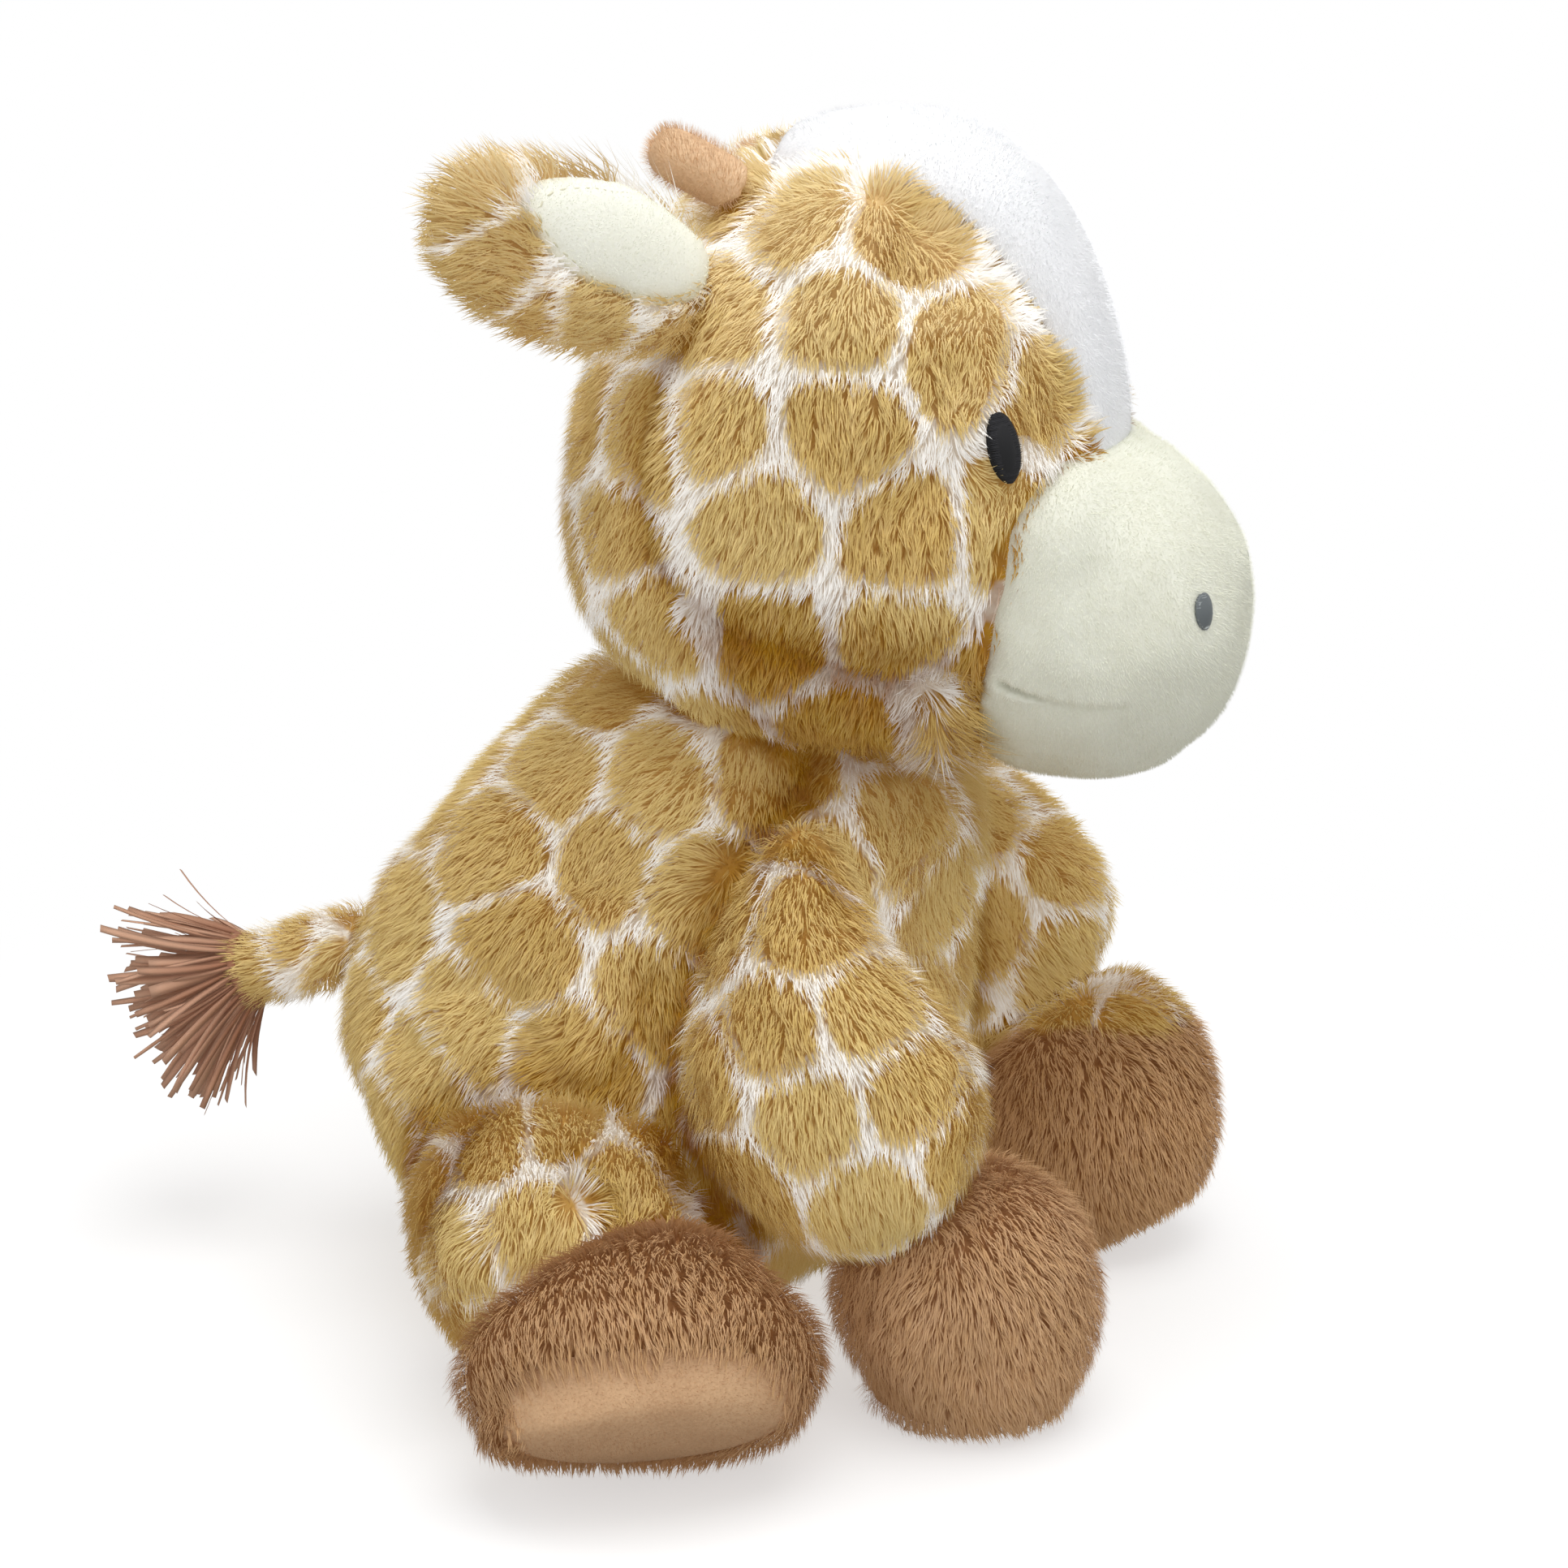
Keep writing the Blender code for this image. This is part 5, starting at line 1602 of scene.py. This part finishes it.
# %% Small shapes
def tube_shape(name, path, half_wide, half_thick, around=6):
    """A closed tube along a path of (x, y, z), with its half width at each place."""
    turns = [math.tau * k / around for k in range(around)]
    verts = [(x + wide * math.cos(turn), y, z + thick * math.sin(turn))
             for (x, y, z), wide, thick in zip(path, half_wide, half_thick) for turn in turns]
    last = len(path) - 1
    faces = [(i * around + k, i * around + (k + 1) % around, (i + 1) * around + (k + 1) % around,
              (i + 1) * around + k) for i in range(last) for k in range(around)]
    faces += [tuple(range(around)), tuple(last * around + k for k in reversed(range(around)))]
    mesh = bpy.data.meshes.new(name)
    mesh.from_pydata(verts, [], faces)
    faced_outwards(mesh)
    store(mesh, "along", np.repeat(np.arange(len(path)) / last, around))
    return bpy.data.objects.new(name, mesh)


def arched(name, dip, count):
    """A thread that rises in the middle and dives at both ends."""
    ys = np.linspace(-1, 1, count)
    half = [0.5 * max(0.12, (1 - y ** 8) ** 0.5) for y in ys]
    return tube_shape(name, [(0, y / 2, -dip * y ** 2 - 0.4 * y ** 8) for y in ys], half, half)


def strip_shape(name, bend, sway, tip):
    """A flat strip of felt, narrow where it is bound and cut off at its tip."""
    ys = np.linspace(0, 1, 7)
    wide = np.interp(ys, (0, 0.35, 0.9, 1), (0.22, 0.42, 0.5, tip))
    return tube_shape(name, [(sway * y ** 2, y, bend * y ** 2) for y in ys], wide, np.full(7, 0.006), 4)


thread_shapes = shape_set("thread_shapes", [arched("thread", 2.2, 9)])
stitch_shapes = shape_set("stitch_shapes", [arched("stitch", 0.9, 7)])
strip_shapes = shape_set("strip_shapes", [strip_shape(f"strip_{i}", *values) for i, values in enumerate(
    ((0.30, 0.5, 0.42), (-0.24, -0.5, 0.30), (0.42, 0.2, 0.46), (-0.10, -0.9, 0.36), (0.2, 1.0, 0.40)))])

# %% [markdown]
# ## Eyes and nostrils
#
# Both are satin stitch: parallel threads laid side by side over a small pad.
# A black disc would look like a plastic eye. Real threads catch the light in fine lines,
# and their ends make the oval's edge slightly uneven.

# %% Eyes and nostrils
# Each oval: half width, half height, height of its dome, width of a thread, depth it sinks
EYE_OVAL = [v * MM for v in (4.1, 8.4, 1.3, 0.26, 1.3)]
NOSTRIL_OVAL = [v * MM for v in (3.4, 4.3, 0.6, 0.24, -0.6)]
NOSTRIL_PLACE, NOSTRIL_FACING = Vector((-24, -120, 190.3)) * MM, Vector((-0.36, -0.92, 0.12)).normalized()
THREAD_SLANT, THREAD_OVERLAP = 0.10, 1.25


def thread_finish(name, colour, shade, rough):
    made, tree, _ = new_material(name, rough, Specular_IOR_Level=0.35)
    show(made, mix_colour(tree, attribute(tree, "strand"), shade, colour))
    return made


def satin(node_name, place, facing, oval, finish, tilt=0.0):
    """An embroidered oval: a pad and the threads laid across it."""
    wide, high, dome, pitch, sink = oval
    across = facing.cross(Vector((0, 0, 1))).normalized()
    turn = Matrix.Rotation(tilt, 3, facing)
    across, upwards = turn @ across, turn @ across.cross(facing).normalized()
    centre = place - facing * sink
    slant = (across + upwards * THREAD_SLANT).normalized()
    rows = []
    for v in np.arange(-0.97, 0.98, pitch / high):
        chord = 2 * wide * math.sqrt(1 - v * v)
        middle = centre + upwards * (high * v) + facing * (dome * (1 - v * v))
        rows.append((middle, slant, facing, (pitch * THREAD_OVERLAP, chord, pitch * THREAD_OVERLAP)))
    placed(node_name + "_threads", node_name, rows, thread_shapes, finish, 0.03, 0.03, 4)

    def on_pad(r, t):
        return centre + across * (wide * 0.93 * r * math.cos(t)) + upwards * (high * 0.96 * r * math.sin(t)) \
            + facing * (dome * (1 - r * r) - pitch * (0.4 + 2 * r * r))

    pad = closed_sheet(node_name + "_pad", polar_grid(9, 40, on_pad), 0.001, True)
    dressed(pad.data, finish)
    enter(pad, node_name)


black_thread = thread_finish("black_thread", rgba(36, 36, 40), rgba(18, 18, 21), 0.6)
grey_thread = thread_finish("grey_thread", rgba(204, 210, 210), rgba(104, 110, 112), 0.5)
muzzle_tree = tree_of(muzzle.data)
for side, sign in (("right", 1), ("left", -1)):
    flip = Vector((sign, 1, 1))
    satin("eye_" + side, flip * Vector(EYE_PLACE), flip * EYE_FACING, EYE_OVAL,
          black_thread, sign * EYE_TILT)
    facing = flip * NOSTRIL_FACING
    satin("nostril_" + side, on_form(muzzle_tree, flip * NOSTRIL_PLACE, facing, 0.03), facing,
          NOSTRIL_OVAL, grey_thread)

# %% [markdown]
# ## Lining stitches
#
# A row of stitches a little inside its edge holds each lining to the ear.

# %% Lining stitches
STITCH_THICK, STITCH_SHARE = 0.5 * MM, 0.82
cream_thread = thread_finish("cream_thread", rgba(236, 234, 212), rgba(214, 210, 184), 0.7)
for side, (ring, face) in lining_edges.items():
    rows = [(first.lerp(second, 0.5) + face.normalized() * STITCH_THICK, second - first, face,
             (STITCH_THICK, (second - first).length * STITCH_SHARE, STITCH_THICK))
            for first, second in zip(ring, ring[1:] + ring[:1])]
    placed(f"ear_lining_{side}_stitches", f"ear_lining_{side}", rows,
           stitch_shapes, cream_thread)

# %% [markdown]
# ## Tassel
#
# Thin brown strips are bound in the tail's open end and fan out from it.
# A few wide straps would look cut from card. A golden angle spiral spreads many narrow ones
# evenly over the end, and each strip leans out more the nearer its root is to the rim.

# %% Tassel
TAIL_END, TAIL_LINE = Vector((0, 128, 70)) * MM, Vector((0, 5, -2)).normalized()
STRIPS, STRIP_LONG, STRIP_WIDE, FAN, DROOP, RIM = 250, 30 * MM, 2.6 * MM, 41, 0.20, 9.6 * MM
BOUND_DEEP, CORE_DOME, GOLDEN_ANGLE = 3 * MM, 2.5, math.pi * (3 - math.sqrt(5))
# The felt gets the same painted glow as the pile
felt, tree, _ = new_material("brown_felt", 0.75, Specular_IOR_Level=0.2, Emission_Strength=FIBRE_GLOW)
share = attribute(tree, "along") * 0.6 + attribute(tree, "strand") * 0.5
colour = mix_colour(tree, stretch(tree, share, 0.0, 1.1), rgba(150, 104, 80), rgba(194, 154, 129))
show(felt, colour, shines=True)
rng = np.random.default_rng(21)
side_way = Vector((1, 0, 0)).cross(TAIL_LINE).normalized()


def out_from_tail(turn):
    return Vector((1, 0, 0)) * math.cos(turn) + side_way * math.sin(turn)


rows = []
for i in range(STRIPS):
    share, outwards = math.sqrt((i + 0.5) / STRIPS), out_from_tail(i * GOLDEN_ANGLE)
    lean = math.radians(FAN * share ** 1.2 + rng.normal(0, 6))
    way = (TAIL_LINE * math.cos(lean) + outwards * math.sin(lean) - Vector((0, 0, 1)) * DROOP).normalized()
    top = outwards + Vector(rng.normal(0, 0.45, 3))
    top = (top - way * top.dot(way)).normalized()
    long = STRIP_LONG * rng.uniform(0.72, 1.08)
    rows.append((TAIL_END - TAIL_LINE * BOUND_DEEP + outwards * RIM * share, way, top,
                 (STRIP_WIDE * rng.uniform(0.35, 1.3), long, long * 0.5)))
placed("tassel_strips", "tassel", rows, strip_shapes, felt, 0.12, 0.05, 3)
grid = polar_grid(7, 32, lambda r, t: TAIL_END + TAIL_LINE * (CORE_DOME * (1 - r * r) - 3) * MM
                  + out_from_tail(t) * RIM * r)
core = closed_sheet("tassel_core", grid, 0.002, True)
dressed(core.data, felt)
enter(core, "tassel")
